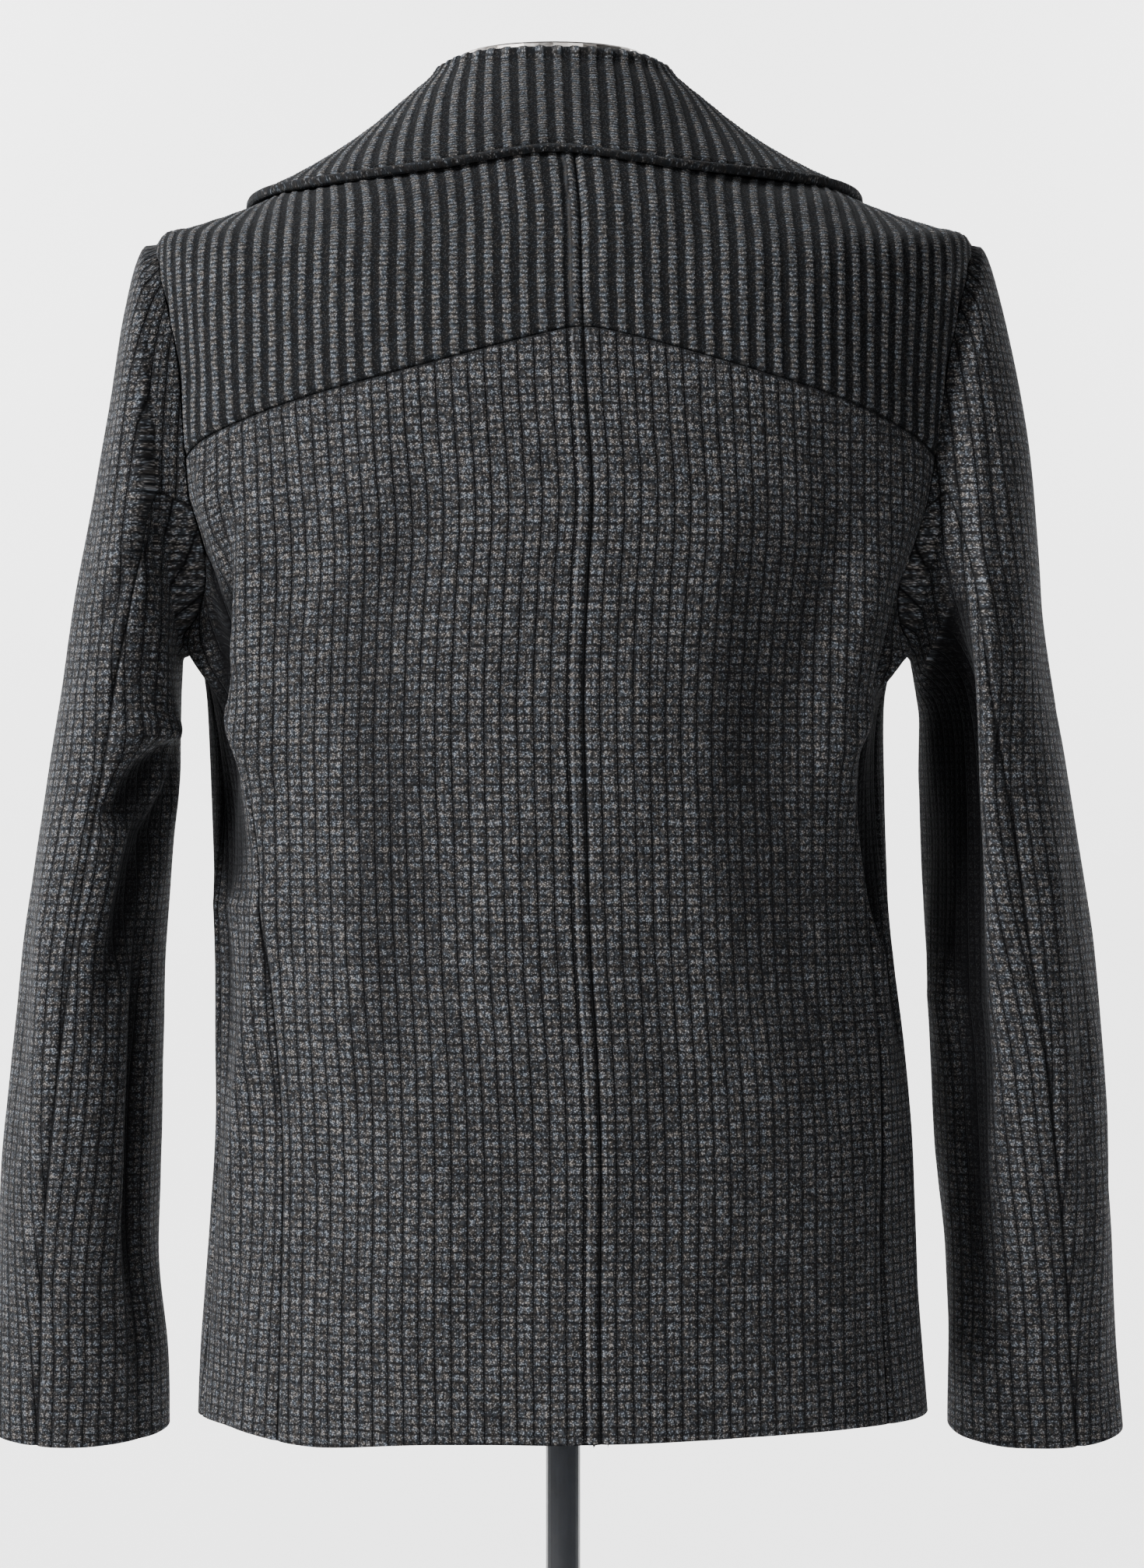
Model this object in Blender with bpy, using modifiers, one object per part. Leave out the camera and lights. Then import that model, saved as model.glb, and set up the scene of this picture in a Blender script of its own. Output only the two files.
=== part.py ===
"""A short wool coat on a limbless dress form with a pole and a round base.

Metres, +Z up. The coat's back faces -Y and its front +Y, and the wearer's right is at +X.
The floor is z = 0, under the middle of the base.
"""

import math

import bpy
import numpy as np

CLOTH = 0.003
COLLAR_CLOTH = 0.0052
LAPEL_CLOTH = 0.0045
SEAM_GAP = 0.0003
RESTING_GAP = 0.0013
LAPEL_GAP = 0.0026
LAPEL_ROLL_GAP = 0.0004
UP = np.array([0.0, 0.0, 1.0])

# Rings of the body from hem to neck, on the cloth's outer side. Heights at the side, the
# middle of the back and the middle of the front, then half the width, the depth of the back
# and of the front, the middle's x, and how far the centre back seam is turned, in degrees.
#  side    back    front   half    back   front  middle   turn
BODY_RINGS = np.array([
    (0.7545, 0.7545, 0.7545, 0.2135, 0.1400, 0.152, 0.0000, 5.7),
    (0.8300, 0.8300, 0.8300, 0.2078, 0.1395, 0.150, -0.0005, 5.8),
    (0.9050, 0.9050, 0.9050, 0.2043, 0.1390, 0.148, 0.0000, 5.9),
    (0.9650, 0.9650, 0.9650, 0.2017, 0.1385, 0.147, -0.0020, 6.0),
    (1.0300, 1.0300, 1.0300, 0.1984, 0.1380, 0.146, -0.0060, 6.1),
    (1.1000, 1.1000, 1.1000, 0.1993, 0.1390, 0.147, -0.0085, 6.2),
    (1.1700, 1.1700, 1.1700, 0.2030, 0.1410, 0.148, -0.0108, 6.3),
    (1.2300, 1.2300, 1.2300, 0.2120, 0.1420, 0.146, -0.0070, 5.6),
    (1.2900, 1.2820, 1.2800, 0.2290, 0.1415, 0.141, -0.0020, 4.6),
    (1.3600, 1.3360, 1.3250, 0.2362, 0.1380, 0.132, 0.0000, 3.2),
    (1.4370, 1.3960, 1.3750, 0.2370, 0.1290, 0.117, 0.0005, 2.4),
    (1.4515, 1.4325, 1.3960, 0.1950, 0.1180, 0.104, 0.0000, 2.9),
    (1.4675, 1.4600, 1.4090, 0.1500, 0.1040, 0.092, -0.0020, 3.8),
    (1.4830, 1.4820, 1.4160, 0.1080, 0.0870, 0.080, -0.0040, 4.9),
    (1.4950, 1.4970, 1.4200, 0.0780, 0.0700, 0.070, -0.0055, 6.0),
])
NECK_RING = 14.0
TIP_RING = 10.0
NECK_MIDDLE_X = -0.0055
TURN_FADES_FROM = 5.0

# Seams as (ring, angle) pairs. The angle is 0 at the middle of the back, 90 at the side and
# 180 at the middle of the front, the same on both sides.
BACK_SEAM = ((0.0, 55.0), (2.0, 57.0), (4.0, 60.0), (5.5, 64.0), (6.5, 67.0), (7.4, 70.0))
SIDE_SEAM = ((0.0, 85.0), (3.0, 84.0), (5.0, 85.0), (6.45, 90.0))
ARMHOLE_BACK = ((7.4, 70.0), (7.84, 68.5), (8.28, 68.0), (8.8, 68.8), (9.3, 71.5), (9.75, 78.5),
                (10.0, 90.0))
ARMHOLE_UNDER = ((7.4, 70.0), (7.05, 73.0), (6.75, 78.0), (6.55, 84.0), (6.45, 90.0))
ARMHOLE_FRONT = ((6.45, 90.0), (6.6, 97.5), (6.9, 104.0), (7.4, 109.5), (8.0, 112.0), (8.6, 112.0),
                 (9.2, 109.0), (9.7, 102.0), (10.0, 90.0))
SHOULDER_SEAM = ((10.0, 90.0), (10.6, 90.0), (11.2, 90.0), (11.8, 90.0), (12.5, 90.0),
                 (13.25, 90.0), (14.0, 90.0))
ROLL_LINE = ((0.0, 187.5), (7.2, 187.5), (9.0, 178.0), (10.0, 173.0), (11.0, 169.0), (12.0, 163.0),
             (13.0, 152.0), (13.5, 136.0), (14.0, 112.0))
LAPEL_EDGE = ((7.3, 184.5), (8.0, 166.0), (9.0, 147.0), (9.8, 134.0), (10.1, 132.0), (10.45, 142.0),
              (11.0, 138.5), (12.0, 131.5), (13.0, 125.0), (13.7, 119.0))
YOKE_RING_AT_BACK = 9.6
YOKE_RING_AT_ARM = 8.28
YOKE_ROUNDING = 0.05
HOLE_RING, HOLE_ANGLE = 8.28, 90.0
HOLE_HALF_DEPTH, HOLE_HALF_HEIGHT = 0.0537, 0.120
METRES_PER_DEGREE, METRES_PER_RING = 0.00244, 0.070

# Rows up the panels below the armholes, and columns across the wide ones.
LOWER_ROWS = 11
BACK_COLUMNS, YOKE_COLUMNS, FRONT_COLUMNS = 12, 12, 10
UNEVEN_FADE = 6
SIDE_TURN_FADE = 1.6
LAPEL_ROWS, LAPEL_COLUMNS = 13, 6
LAPEL_RISE_AT_FOOT, LAPEL_RISE_UP = 0.0015, 0.0065
# This factor makes the rise of the lapel's cubic roundness 1 at its highest.
LAPEL_ROUNDNESS = 6.75
LAPEL_SEATED_COLUMNS = 6
LAPEL_FROM = {-1: 7.3, 1: 8.9}
LAPEL_TO = 13.7
FRONT_OVERLAP_FROM, FRONT_OVERLAP_TO = 145.0, 163.0
FRONT_OVERLAP_GAP = 0.0013

# Folds of the body: (side, top angle, top ring, bottom angle, bottom ring, width, depth).
# Depth is outwards, and below 0 for a trough. Side is +1 on the wearer's right, -1 on the left.
BODY_FOLDS = (
    (-1, 60.0, 8.9, 57.0, 6.2, 0.022, 0.0065),
    (-1, 57.0, 6.6, 53.0, 3.8, 0.020, 0.0055),
    (-1, 53.0, 4.6, 68.0, 1.2, 0.016, 0.0055),
    (-1, 67.0, 7.9, 70.0, 5.2, 0.016, -0.0090),
    (-1, 30.0, 8.0, 27.0, 2.2, 0.026, -0.0035),
    (1, 60.0, 8.6, 56.0, 5.0, 0.022, 0.0065),
    (1, 72.0, 7.3, 70.0, 4.6, 0.014, -0.0080),
    (1, 72.0, 5.2, 64.0, 1.6, 0.018, 0.0040),
    (1, 35.0, 7.8, 38.0, 2.4, 0.030, -0.0030),
    (1, 100.0, 6.0, 108.0, 1.5, 0.020, 0.0040),
    (1, 128.0, 8.6, 118.0, 3.4, 0.024, -0.0040),
    (-1, 104.0, 6.0, 112.0, 1.2, 0.022, 0.0045),
    (-1, 128.0, 8.4, 120.0, 3.0, 0.024, -0.0040),
)
FOLD_RADIUS = 0.17
# The hem's waves: (angle, width in degrees, drop).
HEM_WAVES = ((-42.0, 16.0, 0.0058), (40.0, 30.0, -0.0022), (-118.0, 22.0, 0.0030), (125.0, 26.0, 0.0025))
HEM_WAVE_RINGS = 1.6

# Sleeve sections from just outside the armhole to the cuff: the outer edge's x and z, the
# inner edge's x and z, half the depth from front to back, the middle's y, and how far the
# back hangs below the front, halved.
#  outer x  outer z  inner x  inner z  depth  middle  slant
LEFT_SLEEVE = np.array([
    (0.2365, 1.4370, 0.2200, 1.1960, 0.0537, 0.000, 0.0000),
    (0.2470, 1.4310, 0.2225, 1.1925, 0.0640, 0.000, 0.0000),
    (0.2555, 1.3990, 0.2235, 1.1880, 0.0720, 0.001, 0.0000),
    (0.2640, 1.3420, 0.2240, 1.1800, 0.0780, 0.002, 0.0000),
    (0.2760, 1.2740, 0.2245, 1.1690, 0.0815, 0.004, 0.0000),
    (0.2880, 1.2130, 0.2245, 1.1520, 0.0830, 0.006, 0.0000),
    (0.2987, 1.1440, 0.2250, 1.1220, 0.0830, 0.008, 0.0000),
    (0.3067, 1.0880, 0.2300, 1.0820, 0.0820, 0.010, 0.0000),
    (0.3152, 1.0306, 0.2345, 1.0306, 0.0790, 0.012, 0.0005),
    (0.3224, 0.9718, 0.2357, 0.9718, 0.0750, 0.014, 0.0015),
    (0.3310, 0.9050, 0.2370, 0.9050, 0.0690, 0.020, 0.0030),
    (0.3360, 0.8450, 0.2390, 0.8450, 0.0610, 0.029, 0.0050),
    (0.3397, 0.7900, 0.2360, 0.7900, 0.0540, 0.040, 0.0065),
    (0.3425, 0.7390, 0.2360, 0.7390, 0.0490, 0.050, 0.0080),
])
RIGHT_SLEEVE = np.array([
    (0.2370, 1.4370, 0.1990, 1.1960, 0.0537, 0.000, 0.0000),
    (0.2475, 1.4290, 0.2030, 1.1925, 0.0640, 0.000, 0.0000),
    (0.2590, 1.3880, 0.2045, 1.1870, 0.0720, 0.001, 0.0000),
    (0.2715, 1.3250, 0.2060, 1.1800, 0.0780, 0.002, 0.0000),
    (0.2776, 1.2620, 0.2075, 1.1720, 0.0815, 0.004, 0.0000),
    (0.2820, 1.2030, 0.2088, 1.1590, 0.0830, 0.006, 0.0000),
    (0.2930, 1.1360, 0.2080, 1.1300, 0.0830, 0.008, 0.0000),
    (0.3020, 1.0840, 0.2095, 1.0840, 0.0820, 0.010, 0.0000),
    (0.3091, 1.0306, 0.2120, 1.0306, 0.0790, 0.012, 0.0005),
    (0.3158, 0.9718, 0.2172, 0.9718, 0.0750, 0.014, 0.0015),
    (0.3212, 0.9047, 0.2205, 0.9047, 0.0690, 0.020, 0.0030),
    (0.3260, 0.8450, 0.2254, 0.8450, 0.0610, 0.029, 0.0050),
    (0.3288, 0.7900, 0.2282, 0.7900, 0.0540, 0.040, 0.0065),
    (0.3348, 0.7385, 0.2291, 0.7385, 0.0490, 0.050, 0.0080),
])
SLEEVE_ROWS = 19
# Round a sleeve the angle is 0 at the outer edge, 90 at the back, 180 inside, 270 at the front.
# The seams between its two pieces, as (section, angle) pairs.
ELBOW_SEAM = ((0.0, 104.0), (3.0, 100.0), (6.0, 92.0), (8.0, 84.0), (10.0, 76.0), (13.0, 67.0))
FRONT_SEAM = ((0.0, 239.0), (13.0, 228.0))
# The armhole's corners where those seams start, counted from the shoulder tip down the back.
ELBOW_CORNER, FRONT_CORNER = 5, 13
# Folds of a sleeve: (top angle, top section, bottom angle, bottom section, width, depth).
LEFT_SLEEVE_FOLDS = (
    (128.0, 1.2, 60.0, 5.4, 0.010, -0.0040),
    (150.0, 5.2, 108.0, 9.0, 0.010, -0.0060),
    (146.0, 7.4, 138.0, 11.4, 0.009, -0.0060),
    (34.0, 5.6, 84.0, 11.0, 0.016, 0.0035),
    (300.0, 5.0, 262.0, 9.4, 0.014, -0.0050),
    (215.0, 6.4, 250.0, 8.8, 0.012, -0.0055),
)
RIGHT_SLEEVE_FOLDS = (
    (122.0, 2.2, 142.0, 9.0, 0.020, -0.0140),
    (96.0, 3.0, 112.0, 9.0, 0.016, 0.0050),
    (52.0, 5.4, 78.0, 10.6, 0.018, 0.0030),
    (300.0, 5.0, 258.0, 9.6, 0.014, -0.0050),
    (212.0, 6.2, 248.0, 8.8, 0.012, -0.0055),
)
SLEEVE_LIFT = 0.0013

# Sections of the collar at even steps from the wearer's left end to the right one: the ring of
# its outer edge, the height of its fold above the neck seam, how far the fold leans in, and how
# hollow the fall is below it.
#  edge ring  height  lean  hollow
COLLAR_SECTIONS = np.array([
    (10.60, 0.0170, 0.0040, 1.40),
    (11.05, 0.0390, 0.0150, 1.85),
    (11.40, 0.0425, 0.0165, 1.90),
    (11.72, 0.0450, 0.0120, 1.50),
    (12.17, 0.0465, 0.0085, 1.15),
    (12.58, 0.0465, 0.0070, 1.00),
    (12.17, 0.0465, 0.0085, 1.15),
    (11.85, 0.0450, 0.0120, 1.50),
    (11.58, 0.0425, 0.0165, 1.90),
    (11.25, 0.0390, 0.0150, 1.85),
    (10.75, 0.0170, 0.0040, 1.40),
])
COLLAR_NECK_END, COLLAR_EDGE_END = 111.5, 134.0
COLLAR_COLUMNS = 44
COLLAR_ROWS = 13
# The stand, as (distance in from the neck seam, share of the lean added to it, share of the height).
COLLAR_SEAM_RISE = 0.0012
COLLAR_STAND = ((0.0032, 0.0, 0.0), (0.0032, 0.55, 0.42), (0.0022, 1.0, 0.82), (-0.0035, 1.0, 1.0))
COLLAR_FALL_SHARE = 0.74
COLLAR_FALL_LEAN, COLLAR_FALL_LEAN_FADE = 0.5, 4
FALL_STEPS = (0.0, 0.16, 0.34, 0.52, 0.7, 0.86, 1.0)

# The dress form, in the same columns as the body's rings, below and above the shoulders.
FORM_TORSO = np.array([
    (0.8000, 0.8000, 0.8000, 0.1560, 0.1000, 0.104, -0.002),
    (0.8120, 0.8120, 0.8120, 0.1680, 0.1100, 0.114, -0.002),
    (0.9050, 0.9050, 0.9050, 0.1760, 0.1180, 0.122, -0.002),
    (1.0300, 1.0300, 1.0300, 0.1640, 0.1100, 0.118, -0.004),
    (1.1700, 1.1700, 1.1700, 0.1780, 0.1220, 0.130, -0.006),
    (1.2900, 1.2850, 1.2800, 0.1850, 0.1240, 0.124, -0.003),
    (1.3700, 1.3400, 1.3250, 0.1870, 0.1210, 0.115, -0.002),
    (1.4260, 1.3880, 1.3700, 0.1880, 0.1150, 0.103, -0.001),
])
FORM_NECK = np.array([
    (1.4930, 1.4930, 1.4220, 0.0640, 0.0600, 0.0650, -0.0055),
    (1.5130, 1.5130, 1.4780, 0.0545, 0.0535, 0.0550, -0.0055),
    (1.5380, 1.5380, 1.5380, 0.0520, 0.0520, 0.0520, -0.0055),
])
FORM_SHOULDER_RINGS = (11.35, 12.0, 12.8, 13.5)
FORM_COLUMNS = 28
FORM_BACK_CLEARANCE = 0.0035
CAP_RADIUS, CAP_LOW, CAP_HIGH = 0.0548, 1.5383, 1.5455
POLE_RADIUS = 0.01025
BASE_RADIUS, BASE_HEIGHT = 0.170, 0.012
BOSS_RADIUS, BOSS_TOP = 0.019, 0.050
ROUND_STEPS = 32

BUTTON_RADIUS, BUTTON_THICK = 0.0135, 0.0045
BUTTON_RINGS = (6.55, 4.75, 2.85)
BUTTON_ANGLE = -180.0
BUTTON_STEPS = 20

COLOURS = {
    "check_wool": (0.060, 0.062, 0.068),
    "stripe_wool": (0.095, 0.097, 0.105),
    "horn": (0.020, 0.018, 0.017),
    "form_cloth": (0.55, 0.53, 0.50),
    "neck_metal": (0.50, 0.47, 0.44),
    "pole_paint": (0.010, 0.012, 0.016),
}


def clear_scene():
    for obj in list(bpy.data.objects):
        bpy.data.objects.remove(obj, do_unlink=True)


def material(name, roughness, metallic=0.0):
    made = bpy.data.materials.get(name)
    if made is None:
        made = bpy.data.materials.new(name)
        made.use_nodes = True
        shader = made.node_tree.nodes["Principled BSDF"]
        shader.inputs["Base Color"].default_value = (*COLOURS[name], 1.0)
        shader.inputs["Roughness"].default_value = roughness
        shader.inputs["Metallic"].default_value = metallic
    return made


def on_table(table, at):
    """The table's row at a fractional row number, on a smooth curve through its rows."""
    low = min(max(int(at), 0), len(table) - 2)
    part = at - low
    here, there = table[low], table[low + 1]
    before = table[low - 1] if low else 2 * here - there
    after = table[low + 2] if low + 2 < len(table) else 2 * there - here
    return 0.5 * (
        2 * here
        + (there - before) * part
        + (2 * before - 5 * here + 4 * there - after) * part**2
        + (3 * here - before - 3 * there + after) * part**3
    )


def seam_angle(seam, ring):
    rings, angles = zip(*seam)
    return float(np.interp(ring, rings, angles))


def ring_point(ring, angle):
    """A point of a ring, given as a row of the ring tables, at an angle in degrees."""
    side_z, back_z, front_z, half, back, front, middle = ring[:7]
    across, along = math.sin(math.radians(angle)), math.cos(math.radians(angle))
    depth, end_z = (back, back_z) if along > 0 else (front, front_z)
    return np.array([middle + half * across, -depth * along, end_z + (side_z - end_z) * across**2])


def fold_height(folds, angle, at, radius, side=None):
    """How far the folds move a point out, at an angle and a fractional row."""
    moved = 0.0
    for *where, top_angle, top, bottom_angle, bottom, width, depth in folds:
        if where and where[0] != side:
            continue
        part = (at - top) / (bottom - top)
        if not 0.0 < part < 1.0:
            continue
        across = math.radians(angle - (top_angle + (bottom_angle - top_angle) * part)) * radius
        moved += depth * math.sin(math.pi * part) ** 0.8 * math.exp(-((across / width) ** 2))
    return moved


def hem_wave(angle, ring):
    """How far the hem's waves lower a point near the hem."""
    fade = max(0.0, 1.0 - ring / HEM_WAVE_RINGS)
    return sum(drop * fade * math.exp(-(((angle - at) / width) ** 2)) for at, width, drop in HEM_WAVES)


def body_point(angle, ring, out=0.0):
    """A point of the coat's body, moved out of its outer side."""
    step_angle, step_ring = 0.5, 0.02
    here = ring_point(on_table(BODY_RINGS, ring), angle)
    round_it = ring_point(on_table(BODY_RINGS, ring), angle + step_angle) - ring_point(
        on_table(BODY_RINGS, ring), angle - step_angle
    )
    up_it = ring_point(on_table(BODY_RINGS, ring + step_ring), angle) - ring_point(
        on_table(BODY_RINGS, ring - step_ring), angle
    )
    normal = np.cross(round_it, up_it)
    normal /= np.linalg.norm(normal)
    side = 1 if angle >= 0 else -1
    moved = fold_height(BODY_FOLDS, abs(angle), ring, FOLD_RADIUS, side)
    return here + normal * (out + moved) - UP * hem_wave(angle, ring)


def turned(side, angle, ring):
    """The angle of a seam on one side, turned as the coat hangs turned on the form."""
    turn = on_table(BODY_RINGS, ring)[7]
    fade = 1.0
    if angle > 0.0:
        fade = min(1.0, max(0.0, (ARMHOLE_BACK[0][0] - ring) / (ARMHOLE_BACK[0][0] - TURN_FADES_FROM)))
    return side * angle + turn * fade


def pulled_in(grid, gap=SEAM_GAP / 2):
    """The grid with its four edges moved in, for the gap at the seams."""
    made = grid.copy()
    for edge, inside in ((0, 1), (-1, -2)):
        for axis in (0, 1):
            rows = np.moveaxis(made, axis, 0)
            away = rows[inside] - rows[edge]
            rows[edge] += away / np.linalg.norm(away, axis=-1, keepdims=True) * gap
    return made


def signed_volume(points, faces):
    total = 0.0
    for face in faces:
        for second, third in zip(face[1:-1], face[2:]):
            total += np.dot(points[face[0]], np.cross(points[second], points[third]))
    return total


def wall(name, outer, inner, finish, collection):
    """A closed wall between two grids of points with as many rows and columns."""
    rows, columns = outer.shape[:2]
    points = np.concatenate([outer.reshape(-1, 3), inner.reshape(-1, 3)])
    shift = rows * columns
    faces = []
    for row in range(rows - 1):
        for column in range(columns - 1):
            first = row * columns + column
            quad = (first, first + 1, first + columns + 1, first + columns)
            faces.append(quad)
            faces.append(tuple(shift + corner for corner in reversed(quad)))
    bottom = [column for column in range(columns)]
    right = [row * columns + columns - 1 for row in range(1, rows)]
    top = [(rows - 1) * columns + column for column in range(columns - 2, -1, -1)]
    left = [row * columns for row in range(rows - 2, 0, -1)]
    rim = bottom + right + top + left
    for here, there in zip(rim, rim[1:] + rim[:1]):
        faces.append((there, here, shift + max(here, there)))
        faces.append((min(here, there), shift + here, shift + there))
    if signed_volume(points, faces) < 0:
        faces = [tuple(reversed(face)) for face in faces]
    return solid(name, points, faces, finish, collection)


def solid(name, points, faces, finish, collection):
    mesh = bpy.data.meshes.new(name)
    mesh.from_pydata([tuple(point) for point in points], [], faces)
    mesh.materials.append(finish)
    mesh.shade_smooth()
    mesh.set_sharp_from_angle(angle=math.radians(50))
    obj = bpy.data.objects.new(name, mesh)
    collection.objects.link(obj)
    return obj


def body_wall(name, places, finish, collection, out=None, thick=CLOTH):
    """A panel from a grid of (angle, ring) places on the body."""
    outer = np.array([[body_point(a, r, out(a, r) if out else 0.0) for a, r in row] for row in places])
    inner = np.array(
        [[body_point(a, r, (out(a, r) if out else 0.0) - thick) for a, r in row] for row in places]
    )
    return wall(name, pulled_in(outer), pulled_in(inner), finish, collection)


def lower_rings(top):
    """Ring numbers from the hem to the top of the side seams."""
    return [top * row / LOWER_ROWS for row in range(LOWER_ROWS + 1)]


def back_panel(side, name, finish, collection):
    """From the centre back seam to the side panel and the armhole, hem to yoke."""
    at_arm = lower_rings(ARMHOLE_BACK[0][0]) + [ARMHOLE_BACK[1][0], ARMHOLE_BACK[2][0]]
    places = []
    for ring_at_arm in at_arm:
        part_up = ring_at_arm / YOKE_RING_AT_ARM
        row = []
        for column in range(BACK_COLUMNS + 1):
            across = column / BACK_COLUMNS
            ring = part_up * yoke_ring(across)
            seam = BACK_SEAM if ring_at_arm <= BACK_SEAM[-1][0] else ARMHOLE_BACK
            edge_ring = part_up * YOKE_RING_AT_ARM
            start = turned(side, 0.0, ring)
            end = turned(side, seam_angle(seam, edge_ring), edge_ring)
            row.append((start + (end - start) * across, ring))
        places.append(row)
    return body_wall(name, places, finish, collection)


def yoke_ring(across):
    """The yoke seam's ring, rounded where it crosses the centre back seam."""
    here = math.hypot(across, YOKE_ROUNDING) - YOKE_ROUNDING
    at_arm = math.hypot(1.0, YOKE_ROUNDING) - YOKE_ROUNDING
    return YOKE_RING_AT_BACK + (YOKE_RING_AT_ARM - YOKE_RING_AT_BACK) * here / at_arm


def yoke_panel(side, name, finish, collection):
    """From the yoke seam over the shoulder blade to the shoulder seam and the neck."""
    at_arm = [ring for ring, _ in ARMHOLE_BACK[2:]] + [ring for ring, _ in SHOULDER_SEAM[1:]]
    places = []
    for ring_at_arm in at_arm:
        part_up = (ring_at_arm - YOKE_RING_AT_ARM) / (NECK_RING - YOKE_RING_AT_ARM)
        seam = ARMHOLE_BACK if ring_at_arm <= TIP_RING else SHOULDER_SEAM
        row = []
        for column in range(YOKE_COLUMNS + 1):
            across = column / YOKE_COLUMNS
            low = yoke_ring(across)
            ring = low + (NECK_RING - low) * part_up
            start = turned(side, 0.0, ring)
            end = side * seam_angle(seam, ring_at_arm)
            row.append((start + (end - start) * across, ring))
        places.append(row)
    return body_wall(name, places, finish, collection)


def side_panel(side, name, finish, collection):
    """The narrow panel under the arm, between the back and the front."""
    places = []
    for row_number in range(LOWER_ROWS + 1):
        row = []
        for column, (top_ring, _) in enumerate(ARMHOLE_UNDER):
            across = column / (len(ARMHOLE_UNDER) - 1)
            ring = top_ring * row_number / LOWER_ROWS
            back_ring = ARMHOLE_UNDER[0][0] * row_number / LOWER_ROWS
            front_ring = ARMHOLE_UNDER[-1][0] * row_number / LOWER_ROWS
            start = turned(side, seam_angle(BACK_SEAM, back_ring), back_ring)
            end = side_seam_angle(side, front_ring)
            first, last = ARMHOLE_UNDER[0][1], ARMHOLE_UNDER[-1][1]
            uneven = side * (ARMHOLE_UNDER[column][1] - first - (last - first) * across)
            near_top = (row_number / LOWER_ROWS) ** UNEVEN_FADE
            row.append((start + (end - start) * across + uneven * near_top, ring))
        places.append(row)
    return body_wall(name, places, finish, collection)


def side_seam_angle(side, ring):
    turn = on_table(BODY_RINGS, ring)[7]
    fade = min(1.0, max(0.0, (SIDE_SEAM[-1][0] - ring) / SIDE_SEAM[-1][0] * SIDE_TURN_FADE))
    return side * seam_angle(SIDE_SEAM, ring) + turn * fade


def front_rings():
    return (
        lower_rings(SIDE_SEAM[-1][0])
        + [ring for ring, _ in ARMHOLE_FRONT[1:]]
        + [ring for ring, _ in SHOULDER_SEAM[1:]]
    )


def front_outer_angle(side, ring):
    if ring <= SIDE_SEAM[-1][0]:
        return side_seam_angle(side, ring)
    seam = ARMHOLE_FRONT if ring <= TIP_RING else SHOULDER_SEAM
    return side * seam_angle(seam, ring)


def front_lift(side):
    """The left front lies over the right one where they overlap."""

    def lift(angle, ring):
        if side > 0:
            return 0.0
        span = FRONT_OVERLAP_TO - FRONT_OVERLAP_FROM
        part = min(1.0, max(0.0, (abs(angle) - FRONT_OVERLAP_FROM) / span))
        return (CLOTH + FRONT_OVERLAP_GAP) * part * part * (3 - 2 * part)

    return lift


def front_panel(side, name, finish, collection):
    """From the side seam and the armhole to the front edge and the lapel's roll line."""
    places = []
    for ring in front_rings():
        start = front_outer_angle(side, ring)
        end = side * seam_angle(ROLL_LINE, ring)
        steps = [column / FRONT_COLUMNS for column in range(FRONT_COLUMNS + 1)]
        places.append([(start + (end - start) * step, ring) for step in steps])
    return body_wall(name, places, finish, collection, front_lift(side))


def lapel(side, name, finish, collection):
    """The turned-back top of a front, from its roll line out over the chest."""
    low = LAPEL_FROM[side]
    lift = front_lift(side)

    def out(angle, ring):
        roll = seam_angle(ROLL_LINE, ring)
        edge = seam_angle(LAPEL_EDGE, ring)
        part = min(1.0, max(0.0, (roll - abs(angle)) / max(roll - edge, 1.0)))
        rise = LAPEL_RISE_AT_FOOT + LAPEL_RISE_UP * (ring - low) / (LAPEL_TO - low)
        roundness = LAPEL_ROUNDNESS * part * (1 - part) ** 2
        gap = LAPEL_ROLL_GAP + (LAPEL_GAP - LAPEL_ROLL_GAP) * min(1.0, LAPEL_SEATED_COLUMNS * part)
        return LAPEL_CLOTH + gap + lift(angle, ring) + rise * roundness

    places = []
    for row_number in range(LAPEL_ROWS + 1):
        ring = low + (LAPEL_TO - low) * row_number / LAPEL_ROWS
        start, end = seam_angle(ROLL_LINE, ring), seam_angle(LAPEL_EDGE, ring)
        steps = [column / LAPEL_COLUMNS for column in range(LAPEL_COLUMNS + 1)]
        places.append([(side * (start + (end - start) * step), ring) for step in steps])
    return body_wall(name, places, finish, collection, out, LAPEL_CLOTH)


def collar_line(at):
    """The middle of the collar's cloth from its neck seam over the roll to its outer edge."""
    neck_angle, edge_angle = COLLAR_NECK_END * at, COLLAR_EDGE_END * at
    section = (at + 1) / 2 * (len(COLLAR_SECTIONS) - 1)
    edge_ring, height, lean, hollow = on_table(COLLAR_SECTIONS, section)
    neck = body_point(neck_angle, NECK_RING)
    outward = np.array([math.sin(math.radians(neck_angle)), -math.cos(math.radians(neck_angle)), 0.0])
    stand = []
    for inward, lean_share, height_share in COLLAR_STAND:
        rise = height_share * height if height_share else COLLAR_SEAM_RISE
        stand.append(neck - outward * (inward + lean_share * lean) + UP * rise)
    fall = []
    for part in FALL_STEPS:
        ring = NECK_RING + (edge_ring - NECK_RING) * part
        angle = neck_angle + (edge_angle - neck_angle) * part
        seat = body_point(angle, ring, COLLAR_CLOTH / 2 + RESTING_GAP)
        drawn_in = COLLAR_FALL_LEAN * lean * (1 - part) ** COLLAR_FALL_LEAN_FADE
        lifted = COLLAR_FALL_SHARE * height * (1 - part) ** hollow
        fall.append(seat - outward * drawn_in + UP * lifted)
    line = np.array(stand + fall)
    steps = np.linspace(0, len(line) - 1, COLLAR_ROWS + 1)
    return np.array([on_table(line, step) for step in steps])


def grid_normals(grid):
    along, across = np.gradient(grid, axis=0), np.gradient(grid, axis=1)
    normals = np.cross(across, along)
    return normals / np.linalg.norm(normals, axis=-1, keepdims=True)


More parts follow.
